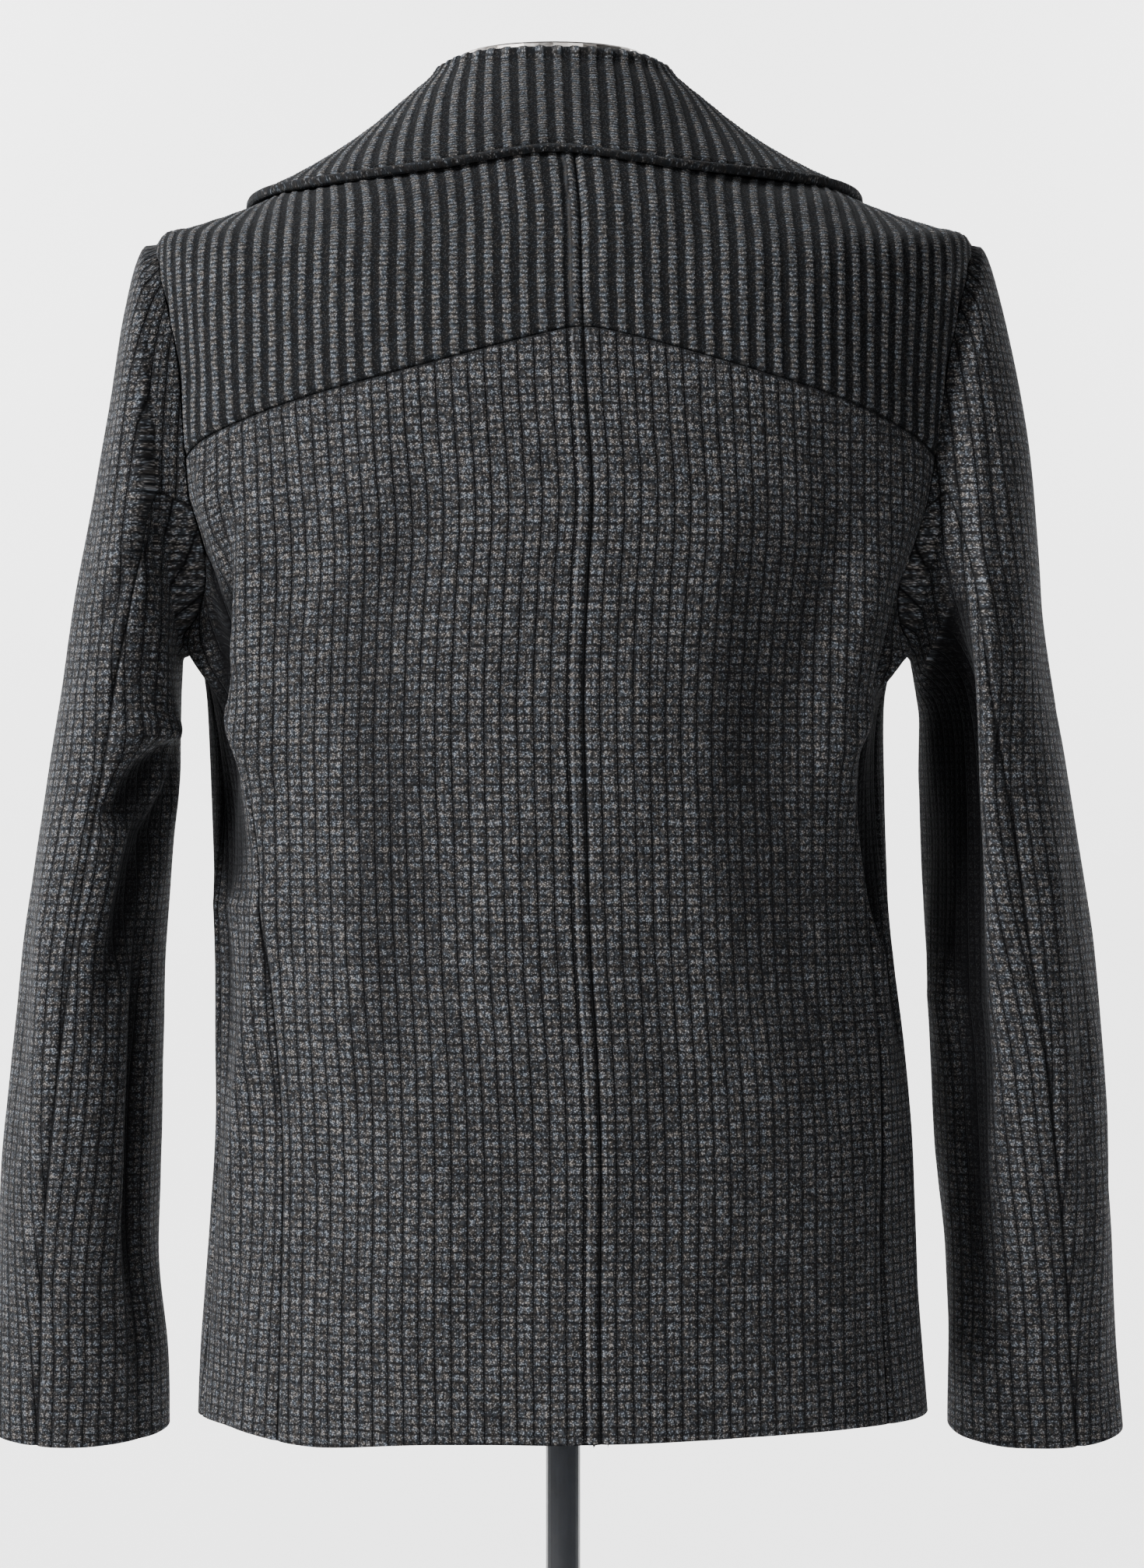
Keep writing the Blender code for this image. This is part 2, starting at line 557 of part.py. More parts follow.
def collar(name, finish, collection):
    stations = np.linspace(-1, 1, COLLAR_COLUMNS + 1)
    middle = np.array([collar_line(at) for at in stations]).transpose(1, 0, 2)
    normals = grid_normals(middle)
    if normals[-2, COLLAR_COLUMNS // 2, 1] > 0:
        normals = -normals
    half = COLLAR_CLOTH / 2
    return wall(name, middle + normals * half, middle - normals * half, finish, collection)


def armhole_places():
    """The armhole's corners as (ring, angle), from the shoulder tip down the back and up the front."""
    return (
        list(reversed(ARMHOLE_BACK[1:]))
        + list(ARMHOLE_UNDER[:-1])
        + list(ARMHOLE_FRONT[:-1])
    )


def armhole_point(side, place, spread, out):
    """A point on the body beside the armhole, moved away from the hole's middle."""
    ring, angle = place
    off_angle, off_ring = (angle - HOLE_ANGLE) * METRES_PER_DEGREE, (ring - HOLE_RING) * METRES_PER_RING
    grow = 1 + spread / math.hypot(off_angle, off_ring)
    return body_point(
        side * (HOLE_ANGLE + (angle - HOLE_ANGLE) * grow), HOLE_RING + (ring - HOLE_RING) * grow, out
    )


def hole_angle(place):
    """An armhole corner's angle in a sleeve's own terms."""
    ring, angle = place
    back = (HOLE_ANGLE - angle) * METRES_PER_DEGREE / HOLE_HALF_DEPTH
    up = (ring - HOLE_RING) * METRES_PER_RING / HOLE_HALF_HEIGHT
    return math.degrees(math.atan2(back, up)) % 360.0


def sleeve_point(table, folds, side, at, angle, out=0.0):
    """A point of a sleeve at a fractional section and an angle, moved out of its outer side."""
    outer_x, outer_z, inner_x, inner_z, depth, middle_y, slant = on_table(table, at)
    turn = math.radians(angle)
    middle = np.array([(outer_x + inner_x) / 2, middle_y, (outer_z + inner_z) / 2])
    reach = np.array([(outer_x - inner_x) / 2, 0.0, (outer_z - inner_z) / 2])
    back = np.array([0.0, -depth, -slant])
    half = np.linalg.norm(reach)
    normal = reach / half**2 * math.cos(turn) + back / depth**2 * math.sin(turn)
    normal /= np.linalg.norm(normal)
    moved = fold_height(folds, angle, at, 0.5 * (depth + half))
    point = middle + reach * math.cos(turn) + back * math.sin(turn) + normal * (out + moved)
    return point * np.array([side, 1.0, 1.0])


def sleeve_pieces(side, name_top, name_under, finish, collection):
    """The top sleeve and the under sleeve, which meet at the elbow seam and the front seam."""
    table = RIGHT_SLEEVE if side > 0 else LEFT_SLEEVE
    folds = RIGHT_SLEEVE_FOLDS if side > 0 else LEFT_SLEEVE_FOLDS
    corners = armhole_places()
    angles = [hole_angle(corner) for corner in corners]
    elbow, front = ELBOW_CORNER, FRONT_CORNER
    top = list(range(front - len(corners), elbow + 1))
    under = list(range(elbow, front + 1))
    for name, run in ((name_top, top), (name_under, under)):
        at_hole = [angles[corner] - (360.0 if corner < 0 else 0.0) for corner in run]
        outer, inner = [], []
        for row in range(SLEEVE_ROWS + 1):
            at = row / SLEEVE_ROWS * (len(table) - 1)
            if row == 0:
                outer.append([armhole_point(side, corners[c], CLOTH + SLEEVE_LIFT, SLEEVE_LIFT) for c in run])
                inner.append([armhole_point(side, corners[c], SLEEVE_LIFT, SLEEVE_LIFT) for c in run])
                continue
            seams = [seam_angle(ELBOW_SEAM, at), seam_angle(FRONT_SEAM, at)]
            if run is top:
                start, end = seams[1] - 360.0, seams[0]
            else:
                start, end = seams
            share = [(a - at_hole[0]) / (at_hole[-1] - at_hole[0]) for a in at_hole]
            placed = [(start + (end - start) * s) for s in share]
            outer.append([sleeve_point(table, folds, side, at, a % 360.0) for a in placed])
            inner.append([sleeve_point(table, folds, side, at, a % 360.0, -CLOTH) for a in placed])
        wall(name, pulled_in(np.array(outer)), pulled_in(np.array(inner)), finish, collection)


def lofted(name, rings, finish, collection):
    """A closed solid through rings of points, closed flat at both ends."""
    count = len(rings[0])
    points = [point for ring in rings for point in ring]
    faces = []
    for row in range(len(rings) - 1):
        for column in range(count):
            following = (column + 1) % count
            faces.append((
                row * count + column,
                row * count + following,
                (row + 1) * count + following,
                (row + 1) * count + column,
            ))
    faces.append(tuple(reversed(range(count))))
    faces.append(tuple((len(rings) - 1) * count + column for column in range(count)))
    if signed_volume(points, faces) < 0:
        faces = [tuple(reversed(face)) for face in faces]
    return solid(name, points, faces, finish, collection)


def dress_form(name, finish, collection):
    """A smooth torso without limbs, which touches the coat along its shoulders only."""
    angles = [360.0 * column / FORM_COLUMNS - 180.0 for column in range(FORM_COLUMNS)]
    rings = []
    for at in np.linspace(0, len(FORM_TORSO) - 1, 2 * len(FORM_TORSO) - 1):
        rings.append([ring_point(on_table(FORM_TORSO, at), angle) for angle in angles])
    for ring in FORM_SHOULDER_RINGS:
        row = []
        for angle in angles:
            off_ridge = 1 - abs(math.sin(math.radians(angle))) ** 6
            row.append(body_point(angle, ring, -(CLOTH + RESTING_GAP + FORM_BACK_CLEARANCE * off_ridge)))
        rings.append(row)
    for at in np.linspace(0, len(FORM_NECK) - 1, 2 * len(FORM_NECK) - 1):
        rings.append([ring_point(on_table(FORM_NECK, at), angle) for angle in angles])
    return lofted(name, rings, finish, collection)


def turned_solid(name, profile, steps, finish, collection, place=(0.0, 0.0, 0.0)):
    """A solid turned about Z from (radius, height) pairs that run down the outside."""
    mesh = bpy.data.meshes.new(name)
    points = [(radius, 0.0, height) for radius, height in profile]
    mesh.from_pydata(points, [(i, i + 1) for i in range(len(points) - 1)], [])
    mesh.materials.append(finish)
    obj = bpy.data.objects.new(name, mesh)
    collection.objects.link(obj)
    obj.location = place
    screw = obj.modifiers.new("turn", "SCREW")
    screw.steps = steps
    screw.render_steps = steps
    screw.use_merge_vertices = True
    screw.merge_threshold = 0.0001
    screw.use_smooth_shade = True
    return obj


def neck_cap(finish, collection):
    bevel = 0.0012
    profile = [
        (0.0, CAP_HIGH + 0.0006),
        (CAP_RADIUS - 0.004, CAP_HIGH),
        (CAP_RADIUS - bevel, CAP_HIGH - 0.0002),
        (CAP_RADIUS, CAP_HIGH - bevel),
        (CAP_RADIUS, CAP_LOW + bevel),
        (CAP_RADIUS - bevel, CAP_LOW),
        (0.0, CAP_LOW),
    ]
    return turned_solid("neck_cap", profile, 40, finish, collection, (NECK_MIDDLE_X, 0.0, 0.0))


def stand(finish, collection):
    base = [
        (0.0, BOSS_TOP),
        (BOSS_RADIUS - 0.002, BOSS_TOP),
        (BOSS_RADIUS, BOSS_TOP - 0.002),
        (BOSS_RADIUS, BASE_HEIGHT + 0.006),
        (BOSS_RADIUS + 0.006, BASE_HEIGHT + 0.001),
        (BASE_RADIUS - 0.014, BASE_HEIGHT - 0.003),
        (BASE_RADIUS - 0.002, BASE_HEIGHT - 0.006),
        (BASE_RADIUS, BASE_HEIGHT - 0.009),
        (BASE_RADIUS, 0.0),
        (0.0, 0.0),
    ]
    turned_solid("stand_base", base, ROUND_STEPS, finish, collection)
    pole = [
        (0.0, FORM_TORSO[0][0] - SEAM_GAP),
        (POLE_RADIUS, FORM_TORSO[0][0] - SEAM_GAP),
        (POLE_RADIUS, BOSS_TOP + SEAM_GAP),
        (0.0, BOSS_TOP + SEAM_GAP),
    ]
    turned_solid("stand_pole", pole, 24, finish, collection)


def button(number, ring, finish, collection):
    """A round button on the left front, with a raised rim."""
    lift = front_lift(-1)(BUTTON_ANGLE, ring)
    seat = body_point(BUTTON_ANGLE, ring, lift + SEAM_GAP)
    facing = body_point(BUTTON_ANGLE, ring, lift + 0.01) - seat
    tilt = math.atan2(facing[2], facing[1])
    profile = [
        (0.0, BUTTON_THICK - 0.0012),
        (BUTTON_RADIUS - 0.0042, BUTTON_THICK - 0.0012),
        (BUTTON_RADIUS - 0.0030, BUTTON_THICK),
        (BUTTON_RADIUS - 0.0010, BUTTON_THICK),
        (BUTTON_RADIUS, BUTTON_THICK - 0.0012),
        (BUTTON_RADIUS - 0.0004, 0.0010),
        (BUTTON_RADIUS - 0.0030, 0.0),
        (0.0, 0.0),
    ]
    made = turned_solid(f"button_{number}", profile, BUTTON_STEPS, finish, collection, tuple(seat))
    made.rotation_euler = (tilt - math.pi / 2, 0.0, 0.0)
    return made


def build_coat(collection):
    check = material("check_wool", 0.95)
    stripe = material("stripe_wool", 0.95)
    horn = material("horn", 0.45)
    for side, hand in ((-1, "left"), (1, "right")):
        back_panel(side, f"back_{hand}", check, collection)
        yoke_panel(side, f"yoke_{hand}", stripe, collection)
        side_panel(side, f"side_{hand}", check, collection)
        front_panel(side, f"front_{hand}", check, collection)
        lapel(side, f"lapel_{hand}", check, collection)
        sleeve_pieces(side, f"sleeve_top_{hand}", f"sleeve_under_{hand}", check, collection)
    collar("collar", stripe, collection)
    for number, ring in enumerate(BUTTON_RINGS, 1):
        button(number, ring, horn, collection)


def build_form(collection):
    dress_form("dress_form", material("form_cloth", 0.9), collection)
    neck_cap(material("neck_metal", 0.35, 1.0), collection)
    stand(material("pole_paint", 0.25), collection)


def main():
    clear_scene()
    collection = bpy.data.collections.new("short_coat_on_form")
    bpy.context.scene.collection.children.link(collection)
    build_coat(collection)
    build_form(collection)


main()
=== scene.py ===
"""A short coat of brushed wool on a limbless dress form, seen from behind.

Metres, +Z up. The coat's back faces -Y, and the wearer's right is at +X. Each panel is a fine
grid laid on the coat's own rings, with its cloth's width and length kept as a UV map in metres.
"""

import math

import bmesh
import bpy
import numpy as np
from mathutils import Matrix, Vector


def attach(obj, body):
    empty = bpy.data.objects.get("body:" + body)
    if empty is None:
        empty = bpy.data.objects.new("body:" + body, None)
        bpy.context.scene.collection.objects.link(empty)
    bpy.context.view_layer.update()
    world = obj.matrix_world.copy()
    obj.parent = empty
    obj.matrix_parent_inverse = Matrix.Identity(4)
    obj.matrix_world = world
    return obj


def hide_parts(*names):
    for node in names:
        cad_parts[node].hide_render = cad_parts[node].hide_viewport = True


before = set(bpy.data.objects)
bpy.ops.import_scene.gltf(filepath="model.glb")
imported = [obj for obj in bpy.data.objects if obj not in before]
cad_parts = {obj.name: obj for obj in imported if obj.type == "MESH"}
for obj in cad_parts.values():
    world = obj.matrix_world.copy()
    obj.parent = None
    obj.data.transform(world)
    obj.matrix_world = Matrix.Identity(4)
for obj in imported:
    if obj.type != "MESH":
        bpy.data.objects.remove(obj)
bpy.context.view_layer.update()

UP = np.array([0.0, 0.0, 1.0])
# The cloth's thickness, the step of a plain grid, and the steps across and along the stripes.
CLOTH = 0.0026
GRID = 0.0042
RIB_ACROSS, RIB_ALONG = 0.00125, 0.00105

# Rings of the body from hem to neck, on the cloth's outer side. Heights at the side, the
# middle of the back and the middle of the front, then half the width, the depth of the back
# and of the front, the middle's x, and how far the centre back seam is turned, in degrees.
#  side    back    front   half    back   front  middle   turn
BODY_RINGS = np.array([
    (0.7545, 0.7545, 0.7545, 0.2135, 0.14, 0.152, 0, 5.7),
    (0.83, 0.83, 0.83, 0.2078, 0.1395, 0.15, -0.0005, 5.8),
    (0.905, 0.905, 0.905, 0.2043, 0.139, 0.148, 0, 5.9),
    (0.965, 0.965, 0.965, 0.2017, 0.1385, 0.147, -0.002, 6),
    (1.03, 1.03, 1.03, 0.1984, 0.138, 0.146, -0.006, 6.1),
    (1.1, 1.1, 1.1, 0.1993, 0.139, 0.147, -0.0085, 6.2),
    (1.17, 1.17, 1.17, 0.203, 0.141, 0.148, -0.0108, 6.3),
    (1.23, 1.23, 1.23, 0.212, 0.142, 0.146, -0.007, 5.6),
    (1.29, 1.282, 1.28, 0.229, 0.1415, 0.141, -0.002, 4.6),
    (1.36, 1.336, 1.325, 0.2362, 0.138, 0.132, 0, 3.2),
    (1.437, 1.396, 1.375, 0.237, 0.129, 0.117, 0.0005, 2.4),
    (1.4515, 1.4325, 1.396, 0.195, 0.118, 0.104, 0, 2.9),
    (1.4675, 1.46, 1.409, 0.15, 0.104, 0.092, -0.002, 3.8),
    (1.483, 1.482, 1.416, 0.108, 0.087, 0.08, -0.004, 4.9),
    (1.495, 1.497, 1.42, 0.078, 0.07, 0.07, -0.0055, 6),
])
NECK_RING = 14.0
TIP_RING = 10.0
TURN_FADES_FROM = 5.0

# Seams as (ring, angle) pairs. The angle is 0 at the middle of the back, 90 at the side and
# 180 at the middle of the front, the same on both sides.
BACK_SEAM = ((0, 55), (2, 57), (4, 60), (5.5, 64), (6.5, 67), (7.4, 70))
SIDE_SEAM = ((0, 85), (3, 84), (5, 85), (6.45, 90))
ARMHOLE_BACK = ((7.4, 70), (7.84, 68.5), (8.28, 68), (8.8, 68.8), (9.3, 71.5), (9.75, 78.5),
                (10, 90))
ARMHOLE_UNDER = ((7.4, 70), (7.05, 73), (6.75, 78), (6.55, 84), (6.45, 90))
ARMHOLE_FRONT = ((6.45, 90), (6.6, 97.5), (6.9, 104), (7.4, 109.5), (8, 112), (8.6, 112),
                 (9.2, 109), (9.7, 102), (10, 90))
ROLL_LINE = ((0, 187.5), (7.2, 187.5), (9, 178), (10, 173), (11, 169), (12, 163),
             (13, 152), (13.5, 136), (14, 112))
LAPEL_EDGE = ((7.3, 184.5), (8, 166), (9, 147), (9.8, 134), (10.1, 132), (10.45, 142),
              (11, 138.5), (12, 131.5), (13, 125), (13.7, 119))
YOKE_RING_AT_BACK = 9.6
YOKE_RING_AT_ARM = 8.28
HOLE_RING, HOLE_ANGLE = 8.28, 90.0
HOLE_HALF_DEPTH, HOLE_HALF_HEIGHT = 0.0537, 0.120
METRES_PER_DEGREE, METRES_PER_RING = 0.00244, 0.070
YOKE_ROUND = 0.05
SIDE_TURN_FADE = 1.6
LAPEL_FROM = {-1: 7.3, 1: 8.9}
LAPEL_TO = 13.7
LAPEL_CLOTH = 0.0040
FRONT_OVERLAP_FROM, FRONT_OVERLAP_TO = 145.0, 163.0
FRONT_OVERLAP_RISE = 0.0043
# Each panel's rough width and length, which set how many steps its grid has.
BACK_SIZE, YOKE_SIZE, SIDE_SIZE = (0.25, 0.65), (0.235, 0.215), (0.09, 0.45)
FRONT_SIZE, LAPEL_SIZE = (0.30, 0.78), (0.11, 0.27)
TOP_SLEEVE_WIDTH, UNDER_SLEEVE_WIDTH, SLEEVE_LENGTH = 0.27, 0.15, 0.66
HANDS = {-1: "left", 1: "right"}
SEEDS = {"back": 11, "yoke": 21, "side": 31, "front": 41, "lapel": 51, "sleeve": 61}

# Folds of the body: (side, top angle, top ring, bottom angle, bottom ring, width, depth).
# Depth is outwards, and below 0 for a trough. Side is +1 on the wearer's right, -1 on the left.
BODY_FOLDS = (
    (-1, 60, 8.9, 57, 6.2, 0.022, 0.0065),
    (-1, 57, 6.6, 53, 3.8, 0.02, 0.0055),
    (-1, 53, 4.6, 68, 1.2, 0.016, 0.0055),
    (-1, 67, 7.9, 70, 5.2, 0.016, -0.009),
    (-1, 30, 8, 27, 2.2, 0.026, -0.0035),
    (1, 60, 8.6, 56, 5, 0.022, 0.0065),
    (1, 72, 7.3, 70, 4.6, 0.014, -0.008),
    (1, 72, 5.2, 64, 1.6, 0.018, 0.004),
    (1, 35, 7.8, 38, 2.4, 0.03, -0.003),
    (1, 100, 6, 108, 1.5, 0.02, 0.004),
    (1, 128, 8.6, 118, 3.4, 0.024, -0.004),
    (-1, 104, 6, 112, 1.2, 0.022, 0.0045),
    (-1, 128, 8.4, 120, 3, 0.024, -0.004),
)
# Finer creases, in the same columns, which lie on top of those folds.
BODY_CREASES = (
    (-1, 50, 8.2, 52, 5.2, 0.02, 0.007),
    (-1, 52, 8.05, 75, 4.9, 0.0115, -0.0125),
    (-1, 61, 8.3, 58, 7.4, 0.008, 0.0045),
    (-1, 85, 6.5, 69, 4.3, 0.04, -0.015),
    (-1, 93, 7.1, 52, 5.3, 0.02, 0.0085),
    (-1, 78, 5.6, 72, 2.6, 0.012, -0.005),
    (-1, 52, 4.9, 70, 1.6, 0.009, 0.0022),
    (-1, 18, 8.6, 26, 6.6, 0.016, -0.002),
    (-1, 40, 7.2, 36, 3.2, 0.018, 0.002),
    (1, 58, 7.9, 52, 4.6, 0.018, 0.005),
    (1, 66, 7.3, 60, 5.6, 0.01, 0.004),
    (1, 70, 5.9, 80, 2.9, 0.012, -0.01),
    (1, 85, 6.4, 73, 3.9, 0.033, -0.014),
    (1, 93, 6.9, 54, 5.4, 0.017, 0.008),
    (1, 56, 5.7, 71, 3.6, 0.007, 0.0035),
    (1, 44, 8, 48, 6, 0.012, -0.0022),
    (1, 24, 5.8, 30, 2, 0.022, 0.0018),
    (-1, 12, 3.4, 10, 0.6, 0.02, -0.0016),
    (1, 16, 4.2, 14, 0.8, 0.022, -0.0018),
    (1, 140, 6.4, 128, 2, 0.018, 0.0028),
    (-1, 138, 6.6, 130, 2.4, 0.018, 0.0028),
)
FOLD_RADIUS = 0.17
# No trough of the body is deeper than this, so the cloth stays clear of the form.
DEEPEST = 0.0155
# Shade is painted darkest into the cloth's colour in a trough of this depth.
PAINTED_SHADE_DEPTH = 0.0072
# The hem's waves: (angle, width in degrees, drop).
HEM_WAVES = (
    (-42, 16, 0.0058),
    (40, 30, -0.0022),
    (-118, 22, 0.003),
    (125, 26, 0.0025),
)
HEM_WAVE_RINGS = 1.6

# Sleeve sections from just outside the armhole to the cuff.
#  outer edge's x, z  inner edge's x, z
LEFT_SLEEVE = (
    (0.2365, 1.437, 0.22, 1.196),
    (0.247, 1.431, 0.2225, 1.1925),
    (0.2555, 1.399, 0.2235, 1.188),
    (0.264, 1.342, 0.224, 1.18),
    (0.276, 1.274, 0.2245, 1.169),
    (0.288, 1.213, 0.2245, 1.152),
    (0.2987, 1.144, 0.225, 1.122),
    (0.3067, 1.088, 0.23, 1.082),
    (0.3152, 1.0306, 0.2345, 1.0306),
    (0.3224, 0.9718, 0.2357, 0.9718),
    (0.331, 0.905, 0.237, 0.905),
    (0.336, 0.845, 0.239, 0.845),
    (0.3397, 0.79, 0.236, 0.79),
    (0.3425, 0.739, 0.236, 0.739),
)
RIGHT_SLEEVE = (
    (0.237, 1.437, 0.199, 1.196),
    (0.2475, 1.429, 0.203, 1.1925),
    (0.259, 1.388, 0.2045, 1.187),
    (0.2715, 1.325, 0.206, 1.18),
    (0.2776, 1.262, 0.2075, 1.172),
    (0.282, 1.203, 0.2088, 1.159),
    (0.293, 1.136, 0.208, 1.13),
    (0.302, 1.084, 0.2095, 1.084),
    (0.3091, 1.0306, 0.212, 1.0306),
    (0.3158, 0.9718, 0.2172, 0.9718),
    (0.3212, 0.9047, 0.2205, 0.9047),
    (0.326, 0.845, 0.2254, 0.845),
    (0.3288, 0.79, 0.2282, 0.79),
    (0.3348, 0.7385, 0.2291, 0.7385),
)
# For the same sections, in both sleeves: half the depth from front to back, the middle's y, and
# how far the back hangs below the front, halved.
SLEEVE_DEPTHS = (
    (0.0537, 0, 0),
    (0.064, 0, 0),
    (0.072, 0.001, 0),
    (0.078, 0.002, 0),
    (0.0815, 0.004, 0),
    (0.083, 0.006, 0),
    (0.083, 0.008, 0),
    (0.082, 0.01, 0),
    (0.079, 0.012, 0.0005),
    (0.075, 0.014, 0.0015),
    (0.069, 0.02, 0.003),
    (0.061, 0.029, 0.005),
    (0.054, 0.04, 0.0065),
    (0.049, 0.05, 0.008),
)
SLEEVES = {
    -1: np.hstack([LEFT_SLEEVE, SLEEVE_DEPTHS]),
    1: np.hstack([RIGHT_SLEEVE, SLEEVE_DEPTHS]),
}
SLEEVE_JOIN = 13 / 19
# The cap's weave ends at one section and the arm's is whole from the other. Each piece's upright
# axis for it is given by its distance from the coat's middle, with the radius of the turn.
CAP_TO, ARM_FROM = 4.6, 7.4
LEVEL_SECTION = 6.0
CAP_AXES = {"top": (0.222, 0.085), "under": (0.330, 0.110)}
# The shoulders are eased down by this much, at this ring and over this many rings.
SHOULDER_EASE, SHOULDER_EASE_RING, SHOULDER_EASE_SPREAD = 0.0058, 10.42, 0.36
# Round a sleeve the angle is 0 at the outer edge, 90 at the back, 180 inside, 270 at the front.
# The seams between its two pieces, as (section, angle) pairs.
ELBOW_SEAM = ((0, 104), (3, 100), (6, 92), (8, 84), (10, 76), (13, 67))
FRONT_SEAM = ((0, 239), (13, 228))
# Folds of a sleeve: (top angle, top section, bottom angle, bottom section, width, depth).
LEFT_SLEEVE_FOLDS = (
    (128, 1.2, 60, 5.4, 0.01, -0.004),
    (150, 5.2, 108, 9, 0.01, -0.006),
    (146, 7.4, 138, 11.4, 0.009, -0.006),
    (34, 5.6, 84, 11, 0.016, 0.0035),
    (300, 5, 262, 9.4, 0.014, -0.005),
    (215, 6.4, 250, 8.8, 0.012, -0.0055),
    (138, 0.8, 146, 6.8, 0.024, 0.013),
    (178, 5, 122, 8.4, 0.011, -0.011),
    (160, 5.1, 106, 6.8, 0.017, -0.012),
    (158, 4.4, 98, 6.1, 0.014, 0.006),
    (145, 7.6, 138, 13.4, 0.0075, -0.0055),
    (100, 0.9, 118, 2.4, 0.007, -0.0028),
    (70, 1.5, 58, 4.6, 0.008, -0.0016),
    (30, 7, 48, 12.5, 0.012, -0.002),
)
RIGHT_SLEEVE_FOLDS = (
    (138, 2.8, 158, 8.6, 0.03, -0.017),
    (96, 3, 112, 9, 0.016, 0.005),
    (52, 5.4, 78, 10.6, 0.018, 0.003),
    (300, 5, 258, 9.6, 0.014, -0.005),
    (212, 6.2, 248, 8.8, 0.012, -0.0055),
    (118, 1.6, 138, 12, 0.017, -0.013),
    (88, 1.6, 104, 8.5, 0.011, 0.005),
    (60, 1.2, 84, 3.8, 0.01, -0.0022),
    (40, 6.5, 58, 12.5, 0.01, -0.0018),
    (74, 8.5, 66, 12.6, 0.012, 0.002),
)
SLEEVE_FOLDS = {-1: LEFT_SLEEVE_FOLDS, 1: RIGHT_SLEEVE_FOLDS}
# The radius with which shade is painted into a sleeve's troughs.
SLEEVE_SHADE_RADIUS = 0.06

# Sections of the collar at even steps from the wearer's left end to the right one: the ring of
# its outer edge, the height of its fold above the neck seam, how far the fold leans in, and how
# hollow the fall is below it.
#  edge ring  height  lean  hollow
COLLAR_SECTIONS = np.array([
    (10.6, 0.017, 0.004, 1.4),
    (11.05, 0.039, 0.015, 1.85),
    (11.4, 0.041, 0.0165, 1.9),
    (11.72, 0.0415, 0.012, 1.5),
    (12.17, 0.041, 0.0085, 1.15),
    (12.58, 0.0405, 0.007, 1),
    (12.17, 0.041, 0.0085, 1.15),
    (11.85, 0.0415, 0.012, 1.5),
    (11.58, 0.041, 0.0165, 1.9),
    (11.25, 0.039, 0.015, 1.85),
    (10.75, 0.017, 0.004, 1.4),
])
COLLAR_CLOTH = 0.0052
COLLAR_NECK_END, COLLAR_EDGE_END = 111.5, 134.0
COLLAR_SEAM_RISE = 0.0012
COLLAR_STAND = ((0.0032, 0.0, 0.0), (0.0032, 0.55, 0.42), (0.0022, 1.0, 0.82), (-0.0035, 1.0, 1.0))
COLLAR_FALL_SHARE = 0.74
COLLAR_FALL_LEAN, COLLAR_FALL_LEAN_FADE = 0.5, 4
COLLAR_REST = 0.0013
FALL_STEPS = (0.0, 0.16, 0.34, 0.52, 0.7, 0.86, 1.0)
COLLAR_STATIONS = 481
COLLAR_BAND = 0.0060
# The collar's plain inner side has every third row, apart from those of its rounded edge.
COLLAR_EDGE_ROWS, COLLAR_INNER_STEP = 8, 3

# The width of the seam allowance that shows beside the centre back seam, on each side.
ALLOWANCE = {-1: 0.0082, 1: 0.0}
# Soft cloth swells this much of its wander, from this far off its seams.
SWELL, SWELL_FROM = 0.5, 0.03
BODY_INSIDE = (0.0, 0.0, 1.1)
STRIPE_PITCH, RUNG_PITCH, STRIPE_BOW = 0.0098, 0.0029, 0.0007
CHECK_WIDE, CHECK_TALL = 0.0092, 0.0048
# The dark and the light of each wool.
CHECK_COLOURS = ((0.0028, 0.0028, 0.0032), (0.20, 0.202, 0.214))
STRIPE_COLOURS = ((0.0022, 0.0024, 0.0028), (0.188, 0.191, 0.202))
# Lights: name, place, aim, width and height, and watts.
LIGHTS = (
    ("key", (-2.4, -1.75, 3.0), (0.0, 0.0, 1.1), (0.9, 1.1), 310.0),
    ("fill", (1.2, -3.2, 2.0), (0.0, 0.0, 1.1), (1.2, 1.4), 38.0),
    ("wall_light_left", (-1.8, 1.4, 2.4), (-0.4, 3.0, 1.2), (1.0, 1.4), 165.0),
    ("wall_light_right", (1.8, 1.4, 2.4), (0.4, 3.0, 1.2), (1.0, 1.4), 165.0),
)


def between(low, high, part):
    return low + (high - low) * part


def smooth_part(value, low, high):
    """How far a value is from low to high, eased into both ends."""
    part = np.clip((value - low) / (high - low), 0.0, 1.0)
    return part * part * (3 - 2 * part)


def on_table(table, at):
    """The table's rows at fractional row numbers, on a smooth curve through its rows."""
    at = np.asarray(at, float)
    low = np.clip(at.astype(int), 0, len(table) - 2)
    part = (at - low)[..., None]
    here, there = table[low], table[low + 1]
    before = np.where((low > 0)[..., None], table[np.maximum(low - 1, 0)], 2 * here - there)
    last = len(table) - 1
    after = np.where((low + 2 <= last)[..., None], table[np.minimum(low + 2, last)], 2 * there - here)
    return 0.5 * (
        2 * here
        + (there - before) * part
        + (2 * before - 5 * here + 4 * there - after) * part**2
        + (3 * here - before - 3 * there + after) * part**3
    )


def seam_angle(seam, ring):
    """A seam's angle at a ring, on a smooth curve through its points."""
    fine = on_table(np.array(seam), np.linspace(0, len(seam) - 1, 24 * len(seam)))
    return np.interp(ring, fine[:, 0], fine[:, 1])


def ring_point(ring, angle):
    """Points of the body's rings at angles in degrees."""
    side_z, back_z, front_z, half, back, front, middle = np.moveaxis(ring[..., :7], -1, 0)
    across, along = np.sin(np.radians(angle)), np.cos(np.radians(angle))
    depth = np.where(along > 0, back, front)
    end_z = np.where(along > 0, back_z, front_z)
    height = end_z + (side_z - end_z) * across**2
    return np.stack([middle + half * across, -depth * along, height], axis=-1)


